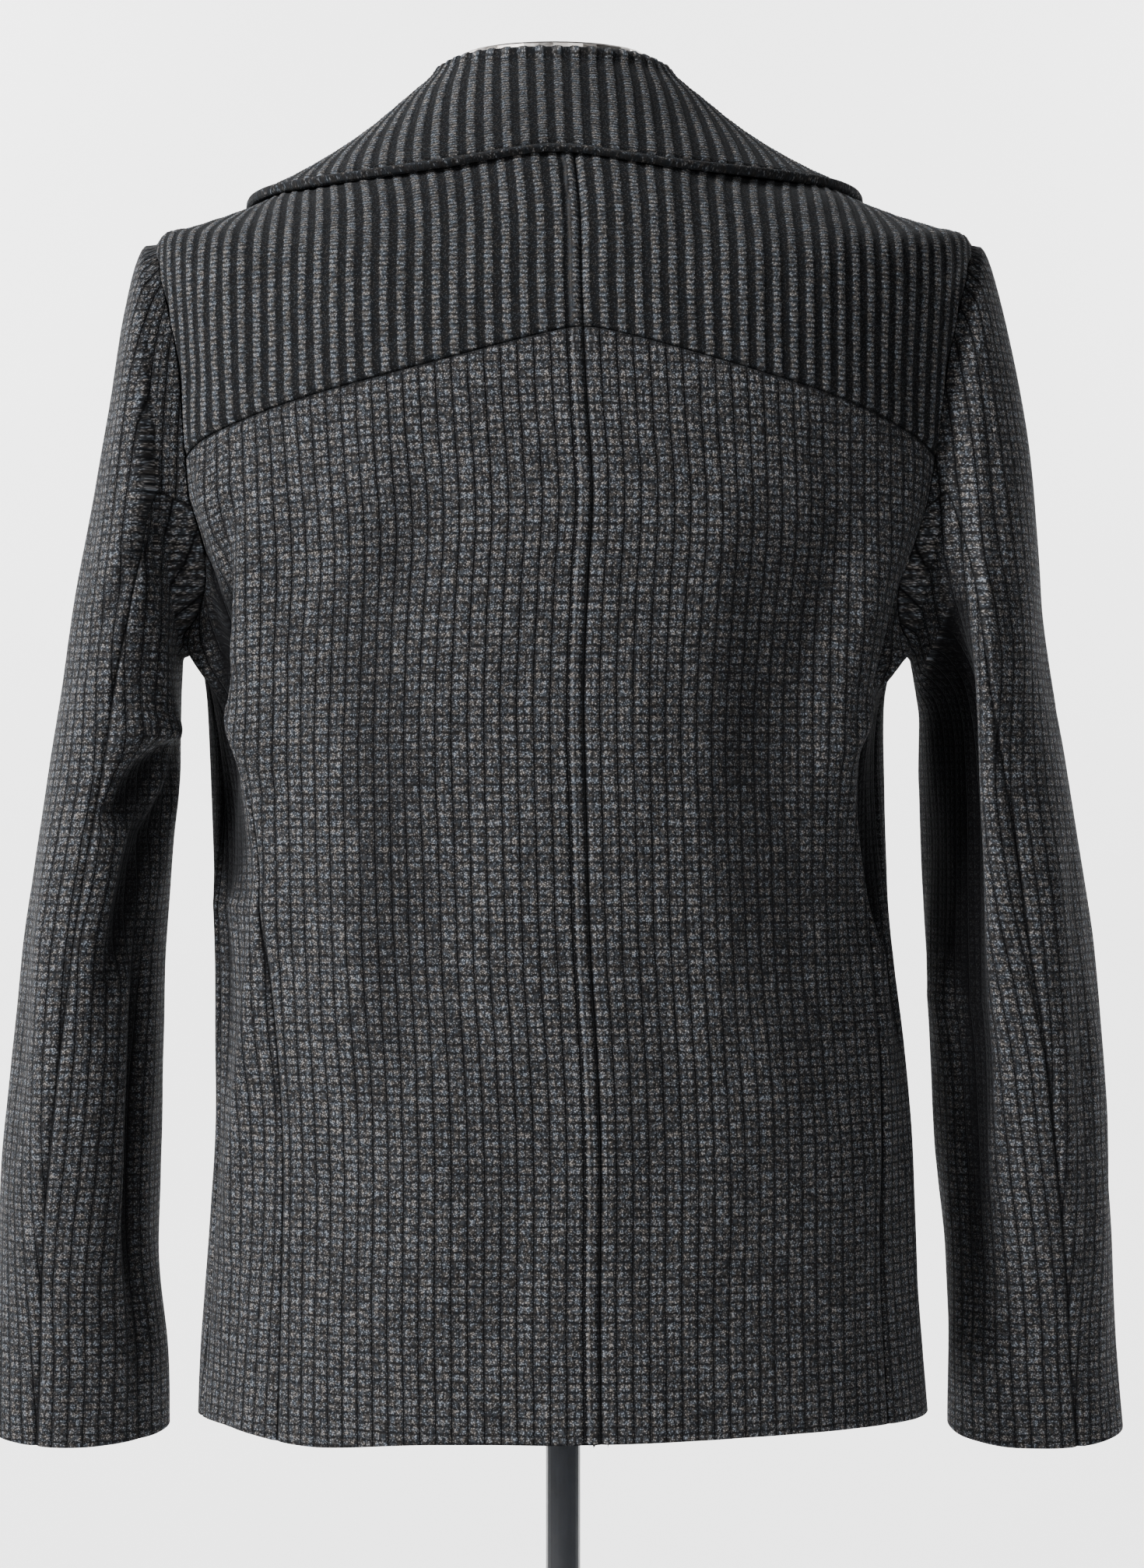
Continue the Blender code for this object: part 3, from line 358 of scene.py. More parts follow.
def fold_height(folds, angle, at, radius):
    """How far the folds move points out, at angles and fractional rows."""
    moved = np.zeros(np.shape(angle))
    for *side, top_angle, top, bottom_angle, bottom, width, depth in folds:
        part = (at - top) / (bottom - top)
        inside = (part > 0.0) & (part < 1.0)
        if side:
            inside &= np.sign(angle + 1e-9) == side[0]
        held = np.clip(part, 0.0, 1.0)
        around = np.abs(angle) if side else angle
        across = np.radians(around - between(top_angle, bottom_angle, held)) * radius
        height = depth * np.sin(np.pi * held) ** 0.8 * np.exp(-((across / width) ** 2))
        moved += np.where(inside, height, 0.0)
    return moved


def body_fold(angle, ring):
    """How far the body's folds and creases move its cloth out."""
    moved = fold_height(BODY_FOLDS + BODY_CREASES, angle, ring, FOLD_RADIUS)
    return np.where(moved < 0, DEEPEST * np.tanh(moved / DEEPEST), moved)


def hem_wave(angle, ring):
    """How far the hem's waves drop the cloth."""
    fade = np.clip(1.0 - ring / HEM_WAVE_RINGS, 0.0, 1.0)
    return sum(drop * fade * np.exp(-(((angle - at) / width) ** 2)) for at, width, drop in HEM_WAVES)


def body_point(angle, ring, out=0.0):
    """Points of the coat's body, moved out of its outer side."""
    angle, ring = np.broadcast_arrays(np.asarray(angle, float), np.asarray(ring, float))
    step_angle, step_ring = 0.5, 0.02
    rows = on_table(BODY_RINGS, ring)
    here = ring_point(rows, angle)
    round_it = ring_point(rows, angle + step_angle) - ring_point(rows, angle - step_angle)
    up_it = ring_point(on_table(BODY_RINGS, ring + step_ring), angle) - ring_point(
        on_table(BODY_RINGS, ring - step_ring), angle
    )
    normal = np.cross(round_it, up_it)
    normal /= np.linalg.norm(normal, axis=-1, keepdims=True)
    moved = body_fold(angle, ring) + out
    off_tip = (ring - SHOULDER_EASE_RING) / SHOULDER_EASE_SPREAD
    eased = SHOULDER_EASE * np.exp(-(off_tip**2)) * np.sin(np.radians(angle)) ** 6
    return here + normal * moved[..., None] - UP * (hem_wave(angle, ring) + eased)[..., None]


def turned(side, angle, ring):
    """The angle of a seam on one side, turned as the coat hangs turned on the form."""
    turn = on_table(BODY_RINGS, ring)[..., 7]
    span = ARMHOLE_BACK[0][0] - TURN_FADES_FROM
    fade = np.where(np.asarray(angle) > 0.0, np.clip((ARMHOLE_BACK[0][0] - ring) / span, 0.0, 1.0), 1.0)
    return side * angle + turn * fade


def shares(length, step, edge=(0.0012, 0.0026, 0.0045)):
    """Fractions along a length, a step apart, and closer at both ends."""
    ends = np.array((0.0, *edge)) / length
    count = max(2, round((length - 2 * edge[-1]) / step))
    middle = np.linspace(ends[-1], 1 - ends[-1], count + 1)
    return np.concatenate([ends[:-1], middle, 1 - ends[:-1][::-1]])


def from_zero(steps, axis):
    """Steps added up along an axis, from 0."""
    none = np.zeros_like(np.take(steps, [0], axis=axis))
    return np.concatenate([none, np.cumsum(steps, axis=axis)], axis=axis)


def lengths(points, axis):
    return np.linalg.norm(np.diff(points, axis=axis), axis=-1)


def off_column(values, column):
    return values - values[:, [column]]


def cloth_map(points, keep_column):
    """A grid's cloth laid flat: lengths up its columns, and widths from one column, in metres."""
    tall = points[:1, :, 2] - points[0, keep_column, 2] + from_zero(lengths(points, 0), 0)
    steps = lengths(points, 1)
    across = np.sqrt(np.maximum(steps**2 - np.diff(tall, axis=1) ** 2, (0.35 * steps) ** 2))
    return np.stack([off_column(from_zero(across, 1), keep_column), tall], axis=-1)


def tube_map(points, keep_column, at, axis_x, radius):
    """A sleeve's cloth laid flat, with level rows.

    Its widths run along the rows in the arm, and in the cap they go by the turn about an upright
    axis, because the cap's own rows slope.
    """
    wide = off_column(from_zero(lengths(points, 1), 1), keep_column)
    off_axis = np.abs(points[..., 0]) - axis_x
    facing = np.sign(off_axis[-1, keep_column])
    turn = off_column(radius * np.arctan2(-facing * points[..., 1], facing * off_axis), keep_column)
    return np.stack([between(turn, wide, smooth_part(at, CAP_TO, ARM_FROM)), points[..., 2]], axis=-1)


def sleeve_cut(points, level_row):
    """A sleeve piece as it is cut: lengths from the cuff, and widths along its level rows."""
    down = from_zero(lengths(points, 0), 0)
    wide = off_column(from_zero(lengths(points, 1), 1), points.shape[1] // 2)
    wide[:level_row] = wide[level_row]
    return np.stack([wide, down[-1:] - down], axis=-1)


def edge_distance(points, free=()):
    """How far each point of a grid is from its nearest seam, leaving out the free edges."""
    far = 1.0
    distances = []
    for axis, (low, high) in enumerate((("bottom", "top"), ("first", "last"))):
        start = from_zero(lengths(points, axis), axis)
        end = np.take(start, [-1], axis=axis) - start
        for edge, distance in ((low, start), (high, end)):
            distances.append(np.full_like(distance, far) if edge in free else distance)
    return np.minimum.reduce(distances)


def new_object(name, data):
    obj = bpy.data.objects.new(name, data)
    bpy.context.scene.collection.objects.link(obj)
    return obj


def sheet_object(name, points, cloth, finish, inside, thick=CLOTH, **marks):
    """A grid of cloth as an object, with its UV map in metres and the marks its finish reads."""
    rows, columns = points.shape[:2]
    bm = bmesh.new()
    bmesh.ops.create_grid(bm, x_segments=columns - 1, y_segments=rows - 1, size=0.5)
    for vertex, place in zip(bm.verts, points.reshape(-1, 3)):
        vertex.co = place
    bm.faces.ensure_lookup_table()
    middle = bm.faces[len(bm.faces) // 2 + columns // 2]
    middle.normal_update()
    if middle.normal.dot(middle.calc_center_median() - Vector(inside)) < 0:
        bmesh.ops.reverse_faces(bm, faces=bm.faces[:])
    mesh = bpy.data.meshes.new(name)
    bm.to_mesh(mesh)
    bm.free()
    corners = np.empty(len(mesh.loops), np.int32)
    mesh.loops.foreach_get("vertex_index", corners)
    layer = mesh.uv_layers.new(name="cloth")
    layer.data.foreach_set("uv", cloth.reshape(-1, 2)[corners].ravel())
    for label, values in marks.items():
        layer = mesh.attributes.new(label, "FLOAT", "POINT")
        layer.data.foreach_set("value", np.ascontiguousarray(values, float).ravel())
    mesh.shade_smooth()
    mesh.materials.append(finish)
    obj = new_object(name, mesh)
    if thick:
        shell = obj.modifiers.new("thickness", "SOLIDIFY")
        shell.thickness = thick
        shell.offset = -1.0
    return obj


def declare(obj, node):
    """Rides the coat's body and stands for its node."""
    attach(obj, "root")
    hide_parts(node)


def seam_dip(near):
    """Cloth rolls under at a seam."""
    return -0.0017 * np.exp(-((near / 0.0021) ** 2))


def band(distance, low, high, soft=0.0006):
    """1 between two distances and 0 outside them, with soft ends."""
    rise = np.clip((distance - low) / soft + 0.5, 0.0, 1.0)
    fall = np.clip((high - distance) / soft + 0.5, 0.0, 1.0)
    return rise * fall


def wander(cloth, seed):
    """A slow uneven swell of soft cloth, in metres, over its width and length."""
    rng = np.random.default_rng(seed)
    swell = np.zeros(cloth.shape[:2])
    for wave in (0.11, 0.07, 0.045, 0.03):
        for _ in range(3):
            turn = rng.uniform(-0.9, 0.9)
            phase = rng.uniform(0, 2 * math.pi)
            along = cloth[..., 0] * math.cos(turn) + cloth[..., 1] * math.sin(turn) * 0.6
            swell += 0.0075 * wave * np.sin(2 * math.pi * along / wave + phase)
    return swell


def stripe_height(cloth):
    """Raised light stripes with rungs across them, over the cloth's width and length."""
    place = np.abs((cloth[..., 0] / STRIPE_PITCH + 0.25) % 1.0 - 0.5) * 2
    dome = np.clip(1.15 - (place / 0.56) ** 2, 0.0, 1.0) ** 0.7
    bow = STRIPE_BOW * place**2
    rung = 0.5 + 0.5 * np.cos(2 * math.pi * (cloth[..., 1] - bow) / RUNG_PITCH)
    return dome * (0.00065 + 0.00040 * rung)


def soft_rise(cloth, near, seed):
    """How far soft cloth is raised: sunk at its seams and swollen between them."""
    return seam_dip(near) + wander(cloth, seed) * SWELL * np.clip(near / SWELL_FROM, 0, 1)


def painted_trough_shade(folded):
    """How dark shade is painted into the cloth's colour in its troughs, from 0 to 1."""
    return np.clip(-folded / PAINTED_SHADE_DEPTH, 0.0, 1.0)


def panel(kind, side, angles, rings, finish, keep_column, free=(), ribs=False, lift=None,
          allowance=0.0, thick=CLOTH):
    """A panel on the body from grids of angles and rings.

    An allowance is the width of the seam allowance that is pressed to this side of the first
    column's seam and stitched down beside it, so it shows as a low ridge with a line of stitches.
    """
    out = lift(angles, rings) if lift else 0.0
    flat_points = body_point(angles, rings, out)
    cloth = cloth_map(flat_points, keep_column)
    near = edge_distance(flat_points, free)
    rise = soft_rise(cloth, near, SEEDS[kind] + side)
    # The hollow mark is painted shade: it darkens the cloth's colour in the troughs of the folds.
    marks = {"edge": near, "hollow": painted_trough_shade(body_fold(angles, rings))}
    if ribs:
        rise += stripe_height(cloth) * np.clip(near / 0.003, 0, 1)
    if allowance:
        off = np.abs(cloth[..., 0])
        ridge = band(off, 0.0, allowance, 0.0012)
        groove = band(off, allowance - 0.0013, allowance - 0.0004)
        rise += 0.0008 * ridge - 0.0006 * groove
        # This mark lightens a line of stitches and paints a dark line of shade along the allowance's edge.
        thread = band(off, allowance - 0.0026, allowance - 0.0014)
        marks["stitches_and_shade"] = thread - band(off, allowance - 0.0003, allowance + 0.0009)
    points = body_point(angles, rings, out + rise)
    node = f"{kind}_{HANDS[side]}"
    obj = sheet_object(f"{node}_cloth", points, cloth, finish, BODY_INSIDE, thick, **marks)
    declare(obj, node)


def yoke_ring(across):
    """The ring of the yoke's lower seam, rounded at the middle of the back."""
    rounded = np.sqrt(across**2 + YOKE_ROUND**2) - YOKE_ROUND
    whole = math.sqrt(1 + YOKE_ROUND**2) - YOKE_ROUND
    return YOKE_RING_AT_BACK + (YOKE_RING_AT_ARM - YOKE_RING_AT_BACK) * rounded / whole


def back_panel(side, finish):
    wide, tall = BACK_SIZE
    up = shares(tall, GRID) * YOKE_RING_AT_ARM
    # More columns beside the centre seam carry the ridge of its seam allowance.
    across = np.unique(np.concatenate([shares(wide, GRID), np.linspace(0.0, 0.042, 15)]))
    rings = (up / YOKE_RING_AT_ARM)[:, None] * yoke_ring(across)[None, :]
    edge = np.where(up <= BACK_SEAM[-1][0], seam_angle(BACK_SEAM, up), seam_angle(ARMHOLE_BACK, up))
    end = turned(side, edge, up)[:, None]
    angles = between(turned(side, 0.0, rings), end, across[None, :])
    panel("back", side, angles, rings, finish, 0, ("bottom",), allowance=ALLOWANCE[side])


def yoke_panel(side, finish):
    wide, tall = YOKE_SIZE
    part_up, across = shares(tall, RIB_ALONG, (0.001,)), shares(wide, RIB_ACROSS, (0.001,))
    up = between(YOKE_RING_AT_ARM, NECK_RING, part_up)
    rings = between(yoke_ring(across)[None, :], NECK_RING, part_up[:, None])
    end = side * np.where(up <= TIP_RING, seam_angle(ARMHOLE_BACK, up), 90.0)[:, None]
    angles = between(turned(side, 0.0, rings), end, across[None, :])
    panel("yoke", side, angles, rings, finish, 0, ribs=True, allowance=ALLOWANCE[side])


def side_seam(side, ring):
    """The angle of the side panel's front seam."""
    turn = on_table(BODY_RINGS, ring)[..., 7]
    fade = np.clip((SIDE_SEAM[-1][0] - ring) / SIDE_SEAM[-1][0] * SIDE_TURN_FADE, 0.0, 1.0)
    return side * seam_angle(SIDE_SEAM, ring) + turn * fade


def side_panel(side, finish):
    wide, tall = SIDE_SIZE
    up = shares(tall, GRID)[:, None]
    across = shares(wide, GRID)
    under = on_table(np.array(ARMHOLE_UNDER), across * (len(ARMHOLE_UNDER) - 1))
    rings = up * under[None, :, 0]
    (back_top, first), (front_top, last) = ARMHOLE_UNDER[0], ARMHOLE_UNDER[-1]
    start = turned(side, seam_angle(BACK_SEAM, up * back_top), up * back_top)
    uneven = side * (under[None, :, 1] - first - (last - first) * across[None, :])
    angles = between(start, side_seam(side, up * front_top), across[None, :]) + uneven * up**6
    panel("side", side, angles, rings, finish, len(across) // 2, ("bottom",))


def front_lift(side, angle):
    """How far the left front is raised where it lies over the right one."""
    if side > 0:
        return np.zeros(np.shape(angle))
    return FRONT_OVERLAP_RISE * smooth_part(np.abs(angle), FRONT_OVERLAP_FROM, FRONT_OVERLAP_TO)


def front_panel(side, finish):
    wide, tall = FRONT_SIZE
    up = shares(tall, GRID) * NECK_RING
    across = shares(wide, GRID)
    at_arm = np.where(up <= TIP_RING, seam_angle(ARMHOLE_FRONT, up), 90.0)
    start = np.where(up <= SIDE_SEAM[-1][0], side_seam(side, up), side * at_arm)[:, None]
    angles = between(start, side * seam_angle(ROLL_LINE, up)[:, None], across[None, :])
    rings = up[:, None] + 0.0 * angles

    def lift(angle, ring):
        return front_lift(side, angle)

    panel("front", side, angles, rings, finish, len(across) - 1, ("bottom", "last"), lift=lift)


def lapel(side, finish):
    wide, tall = LAPEL_SIZE
    low = LAPEL_FROM[side]
    up = between(low, LAPEL_TO, shares(tall, GRID))
    across = shares(wide, GRID)[None, :]
    roll, edge = seam_angle(ROLL_LINE, up)[:, None], seam_angle(LAPEL_EDGE, up)[:, None]
    angles = side * between(roll, edge, across)
    rings = up[:, None] + 0.0 * angles

    def lift(angle, ring):
        """The lapel rolls out of the roll line and lies back on the front at its edge."""
        rise = 0.0015 + 0.0065 * (ring - low) / (LAPEL_TO - low)
        roundness = 6.75 * across * (1 - across) ** 2
        gap = 0.0004 + 0.0022 * np.clip(6 * across, 0.0, 1.0)
        return 0.0045 + gap + front_lift(side, angle) + rise * roundness

    panel("lapel", side, angles, rings, finish, 0, ("bottom", "top", "last"), lift=lift,
          thick=LAPEL_CLOTH)


def armhole_loop():
    """The armhole as a closed table of (ring, angle), from the shoulder tip down the back."""
    return np.array(
        list(reversed(ARMHOLE_BACK[1:])) + list(ARMHOLE_UNDER[:-1]) + list(ARMHOLE_FRONT[:-1])
    )


def closed_table(table, at):
    """A closed table's rows at fractional row numbers, which may be below 0."""
    around = np.concatenate([table[-2:], table, table[:3]])
    return on_table(around, np.mod(at, len(table)) + 2)


def armhole_point(side, place, spread, out):
    """Points of the body beside the armhole, moved away from the hole's middle."""
    ring, angle = place[..., 0], place[..., 1]
    reach = np.hypot((angle - HOLE_ANGLE) * METRES_PER_DEGREE, (ring - HOLE_RING) * METRES_PER_RING)
    grow = 1 + spread / reach
    return body_point(
        side * (HOLE_ANGLE + (angle - HOLE_ANGLE) * grow), HOLE_RING + (ring - HOLE_RING) * grow, out
    )


def hole_angle(place):
    """The angle round the armhole's middle, as round a sleeve."""
    back = (HOLE_ANGLE - place[..., 1]) * METRES_PER_DEGREE / HOLE_HALF_DEPTH
    up = (place[..., 0] - HOLE_RING) * METRES_PER_RING / HOLE_HALF_HEIGHT
    return np.degrees(np.arctan2(back, up)) % 360.0


def sleeve_point(table, folds, side, at, angle, out=0.0):
    """Points of a sleeve at fractional sections and angles, moved out of its outer side."""
    row = on_table(table, at)
    outer_x, outer_z, inner_x, inner_z, depth, middle_y, slant = np.moveaxis(row, -1, 0)
    turn = np.radians(angle)
    zero = np.zeros_like(outer_x)
    middle = np.stack([(outer_x + inner_x) / 2, middle_y, (outer_z + inner_z) / 2], axis=-1)
    reach = np.stack([(outer_x - inner_x) / 2, zero, (outer_z - inner_z) / 2], axis=-1)
    back = np.stack([zero, -depth, -slant], axis=-1)
    half = np.linalg.norm(reach, axis=-1)
    normal = reach * (np.cos(turn) / half**2)[..., None] + back * (np.sin(turn) / depth**2)[..., None]
    normal /= np.linalg.norm(normal, axis=-1, keepdims=True)
    moved = fold_height(folds, angle % 360.0, at, 0.5 * (depth + half)) + out
    point = middle + reach * np.cos(turn)[..., None] + back * np.sin(turn)[..., None]
    return (point + normal * moved[..., None]) * np.array([side, 1.0, 1.0])


def sleeve(side, finish):
    """The top sleeve and the under sleeve, which meet at the elbow seam and the front seam."""
    table, folds = SLEEVES[side], SLEEVE_FOLDS[side]
    loop = armhole_loop()
    elbow, front = 5, 13
    runs = {
        "top": (front - len(loop), elbow, TOP_SLEEVE_WIDTH),
        "under": (elbow, front, UNDER_SLEEVE_WIDTH),
    }
    for which, (first, last, width) in runs.items():
        places = closed_table(loop, between(first, last, shares(width, GRID)))
        at_hole = np.unwrap(np.radians(hole_angle(places)))
        share = np.degrees(at_hole - at_hole[0]) / np.degrees(at_hole[-1] - at_hole[0])
        sections = shares(SLEEVE_LENGTH, GRID) * (len(table) - 1)
        at = sections[:, None] + 0.0 * share[None, :]
        held = np.maximum(at, SLEEVE_JOIN)
        seams = (seam_angle(ELBOW_SEAM, held), seam_angle(FRONT_SEAM, held))
        start, end = (seams[1] - 360.0, seams[0]) if which == "top" else seams
        angles = between(start, end, share[None, :])
        off_hole = np.clip(at / SLEEVE_JOIN, 0.0, 1.0)

        def surface(out):
            body_side = armhole_point(side, places, 0.0010, -0.0008)[None, ...]
            away = sleeve_point(table, folds, side, held, angles, out)
            return between(body_side, away, np.sin(0.5 * math.pi * off_hole[..., None]) ** 0.9)

        flat_points = surface(0.0)
        cloth = tube_map(flat_points, len(share) // 2, at, *CAP_AXES[which])
        near = edge_distance(flat_points, ("top",))
        rise = soft_rise(cloth, near, SEEDS["sleeve"] + side) * off_hole
        middle = on_table(table, np.array(6.5))
        inside = (side * (middle[0] + middle[2]) / 2, middle[5], (middle[1] + middle[3]) / 2)
        # The hollow mark is painted shade, darkening the sleeve's colour in the troughs of its folds.
        hollow = painted_trough_shade(fold_height(folds, angles % 360.0, at, SLEEVE_SHADE_RADIUS))
        node = f"sleeve_{which}_{HANDS[side]}"
        obj = sheet_object(
            f"{node}_cloth", surface(rise), cloth, finish, inside, edge=near, hollow=hollow
        )
        cut = sleeve_cut(flat_points, int(np.searchsorted(sections, LEVEL_SECTION)))
        declare(obj, node)


def collar_middle(at, steps):
    """The middle of the collar's cloth, for each station, from its neck seam to its outer edge."""
    rows = []
    for station in at:
        neck_angle, edge_angle = COLLAR_NECK_END * station, COLLAR_EDGE_END * station
        section = (station + 1) / 2 * (len(COLLAR_SECTIONS) - 1)
        edge_ring, height, lean, hollow = on_table(COLLAR_SECTIONS, section)
        neck = body_point(neck_angle, NECK_RING)
        turn = math.radians(neck_angle)
        outward = np.array([math.sin(turn), -math.cos(turn), 0.0])
        line = []
        for inward, lean_share, height_share in COLLAR_STAND:
            rise = height_share * height if height_share else COLLAR_SEAM_RISE
            line.append(neck - outward * (inward + lean_share * lean) + UP * rise)
        parts = np.array(FALL_STEPS)
        rings = between(NECK_RING, edge_ring, parts)
        angles = between(neck_angle, edge_angle, parts)
        seats = body_point(angles, rings, COLLAR_CLOTH / 2 + COLLAR_REST)
        seats = seats - outward * (COLLAR_FALL_LEAN * lean * (1 - parts) ** COLLAR_FALL_LEAN_FADE)[:, None]
        seats = seats + UP * (COLLAR_FALL_SHARE * height * (1 - parts) ** hollow)[:, None]
        rows.append(on_table(np.concatenate([line, seats]), steps))
    return np.array(rows).transpose(1, 0, 2)


def smooth_columns(grid, passes):
    for _ in range(passes):
        grid[:, 1:-1] = 0.25 * grid[:, :-2] + 0.5 * grid[:, 1:-1] + 0.25 * grid[:, 2:]
    return grid


def even_rows(grid):
    """The grid with rows at even lengths up it, and those lengths."""
    length = from_zero(lengths(grid, 0).mean(axis=1), 0)
    rows = np.linspace(0.0, length[-1], round(length[-1] / RIB_ALONG))
    even = np.empty((len(rows), *grid.shape[1:]))
    for column in range(grid.shape[1]):
        for axis in range(3):
            even[:, column, axis] = np.interp(rows, length, grid[:, column, axis])
    return even, rows


def collar(finish):
    """The collar: its striped outer side, its rolled edge band and its plain inner side."""
    stations = np.linspace(-1, 1, COLLAR_STATIONS)
    fine = np.linspace(0, len(COLLAR_STAND) + len(FALL_STEPS) - 1, 241)
    middle, rows = even_rows(smooth_columns(collar_middle(stations, fine), 12))
    centre = middle.shape[1] // 2
    along, across = np.gradient(middle, axis=0), np.gradient(middle, axis=1)
    normal = np.cross(across, along)
    normal /= np.linalg.norm(normal, axis=-1, keepdims=True)
    if normal[-3, centre, 1] > 0:
        normal = -normal
    cloth = cloth_map(middle, centre)
    cloth[..., 1] = rows[:, None]
    wide = cloth[..., 0]
    ends = np.minimum(wide - wide[:, :1], wide[:, -1:] - wide)
    from_edge = np.minimum(rows[-1] - rows[:, None] + 0.0 * wide, ends)
    half = COLLAR_CLOTH / 2
    rolled = 0.0013 * np.exp(-(((from_edge - 0.45 * COLLAR_BAND) / (0.36 * COLLAR_BAND)) ** 2))
    groove = -0.0012 * np.exp(-(((from_edge - COLLAR_BAND - 0.0006) / 0.0010) ** 2))
    to_edge = 1 - np.clip(from_edge / half, 0, 1)
    rounding = half * (1 - np.sqrt(np.clip(1 - to_edge**2, 0, 1)))
    ribs = stripe_height(cloth) * np.clip((from_edge - COLLAR_BAND - 0.0012) / 0.002, 0, 1)
    outer = middle + normal * (half + rolled + groove + ribs - rounding)[..., None]
    inner = middle - normal * (half - rounding)[..., None]
    last = len(rows) - 1
    plain_rows = np.arange(COLLAR_EDGE_ROWS, last, COLLAR_INNER_STEP)
    kept = np.concatenate([np.arange(COLLAR_EDGE_ROWS), plain_rows, [last]])
    loop = np.concatenate([outer, inner[::-1][kept]])
    cloth_back = cloth[::-1][kept]
    cloth_back[..., 1] = 2 * rows[-1] - cloth_back[..., 1]
    both = np.concatenate([cloth, cloth_back])
    near = np.concatenate([from_edge, from_edge[::-1][kept]])
    plain = 1.0 - np.clip((near - COLLAR_BAND + 0.0004) / 0.0012, 0.0, 1.0)
    # The edge mark paints a dark line of shade into the colour along the groove between the band and the
    # stripes.
    edge = 0.02 + 1.2 * np.abs(near - COLLAR_BAND - 0.0004)
    inside = tuple(middle[len(rows) // 2, centre])
    obj = sheet_object("collar_cloth", loop, both, finish, inside, 0.0, edge=edge, plain=plain)
    declare(obj, "collar")


class Nodes:
    """A short way to add and join shader nodes in one tree."""

    def __init__(self, tree):
        self.tree = tree

    def join(self, source, socket):
        self.tree.links.new(source, socket)

    def add(self, kind, values=(), links=(), **settings):
        node = self.tree.nodes.new(kind)
        for key, value in settings.items():
            setattr(node, key, value)
        for key, value in dict(values).items():
            node.inputs[key].default_value = value
        for key, source in dict(links).items():
            self.join(source, node.inputs[key])
        return node

    def math(self, operation, first, second=None, third=None, clamp=False):
        node = self.add("ShaderNodeMath", operation=operation, use_clamp=clamp)
        for index, value in enumerate((first, second, third)):
            if isinstance(value, (int, float)):
                node.inputs[index].default_value = value
            elif value is not None:
                self.join(value, node.inputs[index])
        return node.outputs[0]

    def times(self, first, second, clamp=False):
        return self.math("MULTIPLY", first, second, clamp=clamp)

    def plus(self, first, second, clamp=False):
        return self.math("ADD", first, second, clamp=clamp)

    def less(self, first, second):
        return self.math("SUBTRACT", first, second)

    def scaled(self, value, factor, added):
        return self.math("MULTIPLY_ADD", value, factor, added)

    def fract(self, value):
        return self.math("FRACT", value)

    def off(self, value, middle):
        """How far a value is from a middle."""
        return self.math("ABSOLUTE", self.less(value, middle))

    def smooth(self, value, low, high, to_low=0.0, to_high=1.0):
        ends = {"From Min": low, "From Max": high, "To Min": to_low, "To Max": to_high}
        kind = "ShaderNodeMapRange"
        return self.add(kind, ends, {"Value": value}, interpolation_type="SMOOTHSTEP").outputs[0]

    def noise(self, vector, scale, detail=2.0, rough=0.5, output="Fac"):
        values = {"Scale": scale, "Detail": detail, "Roughness": rough}
        return self.add("ShaderNodeTexNoise", values, {"Vector": vector}).outputs[output]

    def mark(self, name):
        """A mark that the cloth's mesh carries."""
        return self.add("ShaderNodeAttribute", attribute_name=name).outputs["Fac"]

    def bump(self, height):
        values = {"Strength": 1.0, "Distance": 1.0}
        return self.add("ShaderNodeBump", values, {"Height": height}).outputs[0]


def new_group(name, outputs):
    """A node group that takes the cloth's map: itself, its tools, that map and its outputs."""
    group = bpy.data.node_groups.new(name, "ShaderNodeTree")
    group.interface.new_socket("Vector", in_out="INPUT", socket_type="NodeSocketVector")
    for label in outputs:
        group.interface.new_socket(label, in_out="OUTPUT", socket_type="NodeSocketFloat")
    n = Nodes(group)
    return group, n, n.add("NodeGroupInput").outputs["Vector"], n.add("NodeGroupOutput").inputs


def fuzz_group():
    """Fine fibres of brushed wool: a speckle, and a slower patchiness."""
    group, n, vector, end = new_group("wool fibres", ("Speckle", "Patches"))
    fine = n.noise(vector, 1500.0, 3.0, 0.75)
    values = {"Scale": 900.0, "Randomness": 1.0}
    hairs = n.add("ShaderNodeTexVoronoi", values, {"Vector": vector}, feature="F1")
    hair = n.smooth(hairs.outputs["Distance"], 0.05, 0.62, 1.0, 0.0)
    mixed = n.plus(n.times(fine, 0.62), n.times(hair, 0.38))
    n.join(n.smooth(mixed, 0.30, 0.74), end["Speckle"])
    slow = n.noise(vector, 38.0, 3.0, 0.6)
    n.join(n.smooth(slow, 0.28, 0.72), end["Patches"])
    return group


def wobbled(n, vector, scale, amount):
    """The cloth's map with its threads pushed about a little."""
    kind = "ShaderNodeVectorMath"
    colour = n.noise(vector, scale, output="Color")
    shift = n.add(kind, {1: (0.5, 0.5, 0.5)}, {0: colour}, operation="SUBTRACT").outputs[0]
    scaled = n.add(kind, {"Scale": amount}, {0: shift}, operation="SCALE").outputs[0]
    return n.add(kind, (), {0: vector, 1: scaled}, operation="ADD").outputs[0]


def weave_group(name, fibres):
    """A group for a weave, with the fibres' patches and the mottle of plain cloth joined up."""
    group, n, flat, end = new_group(name, ("Light", "Height", "Patches", "Mottle"))
    fibre = n.add("ShaderNodeGroup", (), {"Vector": flat}, node_tree=fibres)
    speckle = fibre.outputs["Speckle"]
    n.join(fibre.outputs["Patches"], end["Patches"])
    mottle = n.smooth(n.noise(flat, 420.0), 0.42, 0.66)
    n.join(n.times(mottle, speckle), end["Mottle"])
    return group, n, flat, speckle, end


def random_cell(n, across, up):
    """A random number for each cell of a weave."""
    cell = n.add("ShaderNodeCombineXYZ", (), {0: n.math("FLOOR", across), 1: n.math("FLOOR", up)})
    vector = {"Vector": cell.outputs[0]}
    return n.add("ShaderNodeTexWhiteNoise", (), vector, noise_dimensions="2D").outputs["Value"]


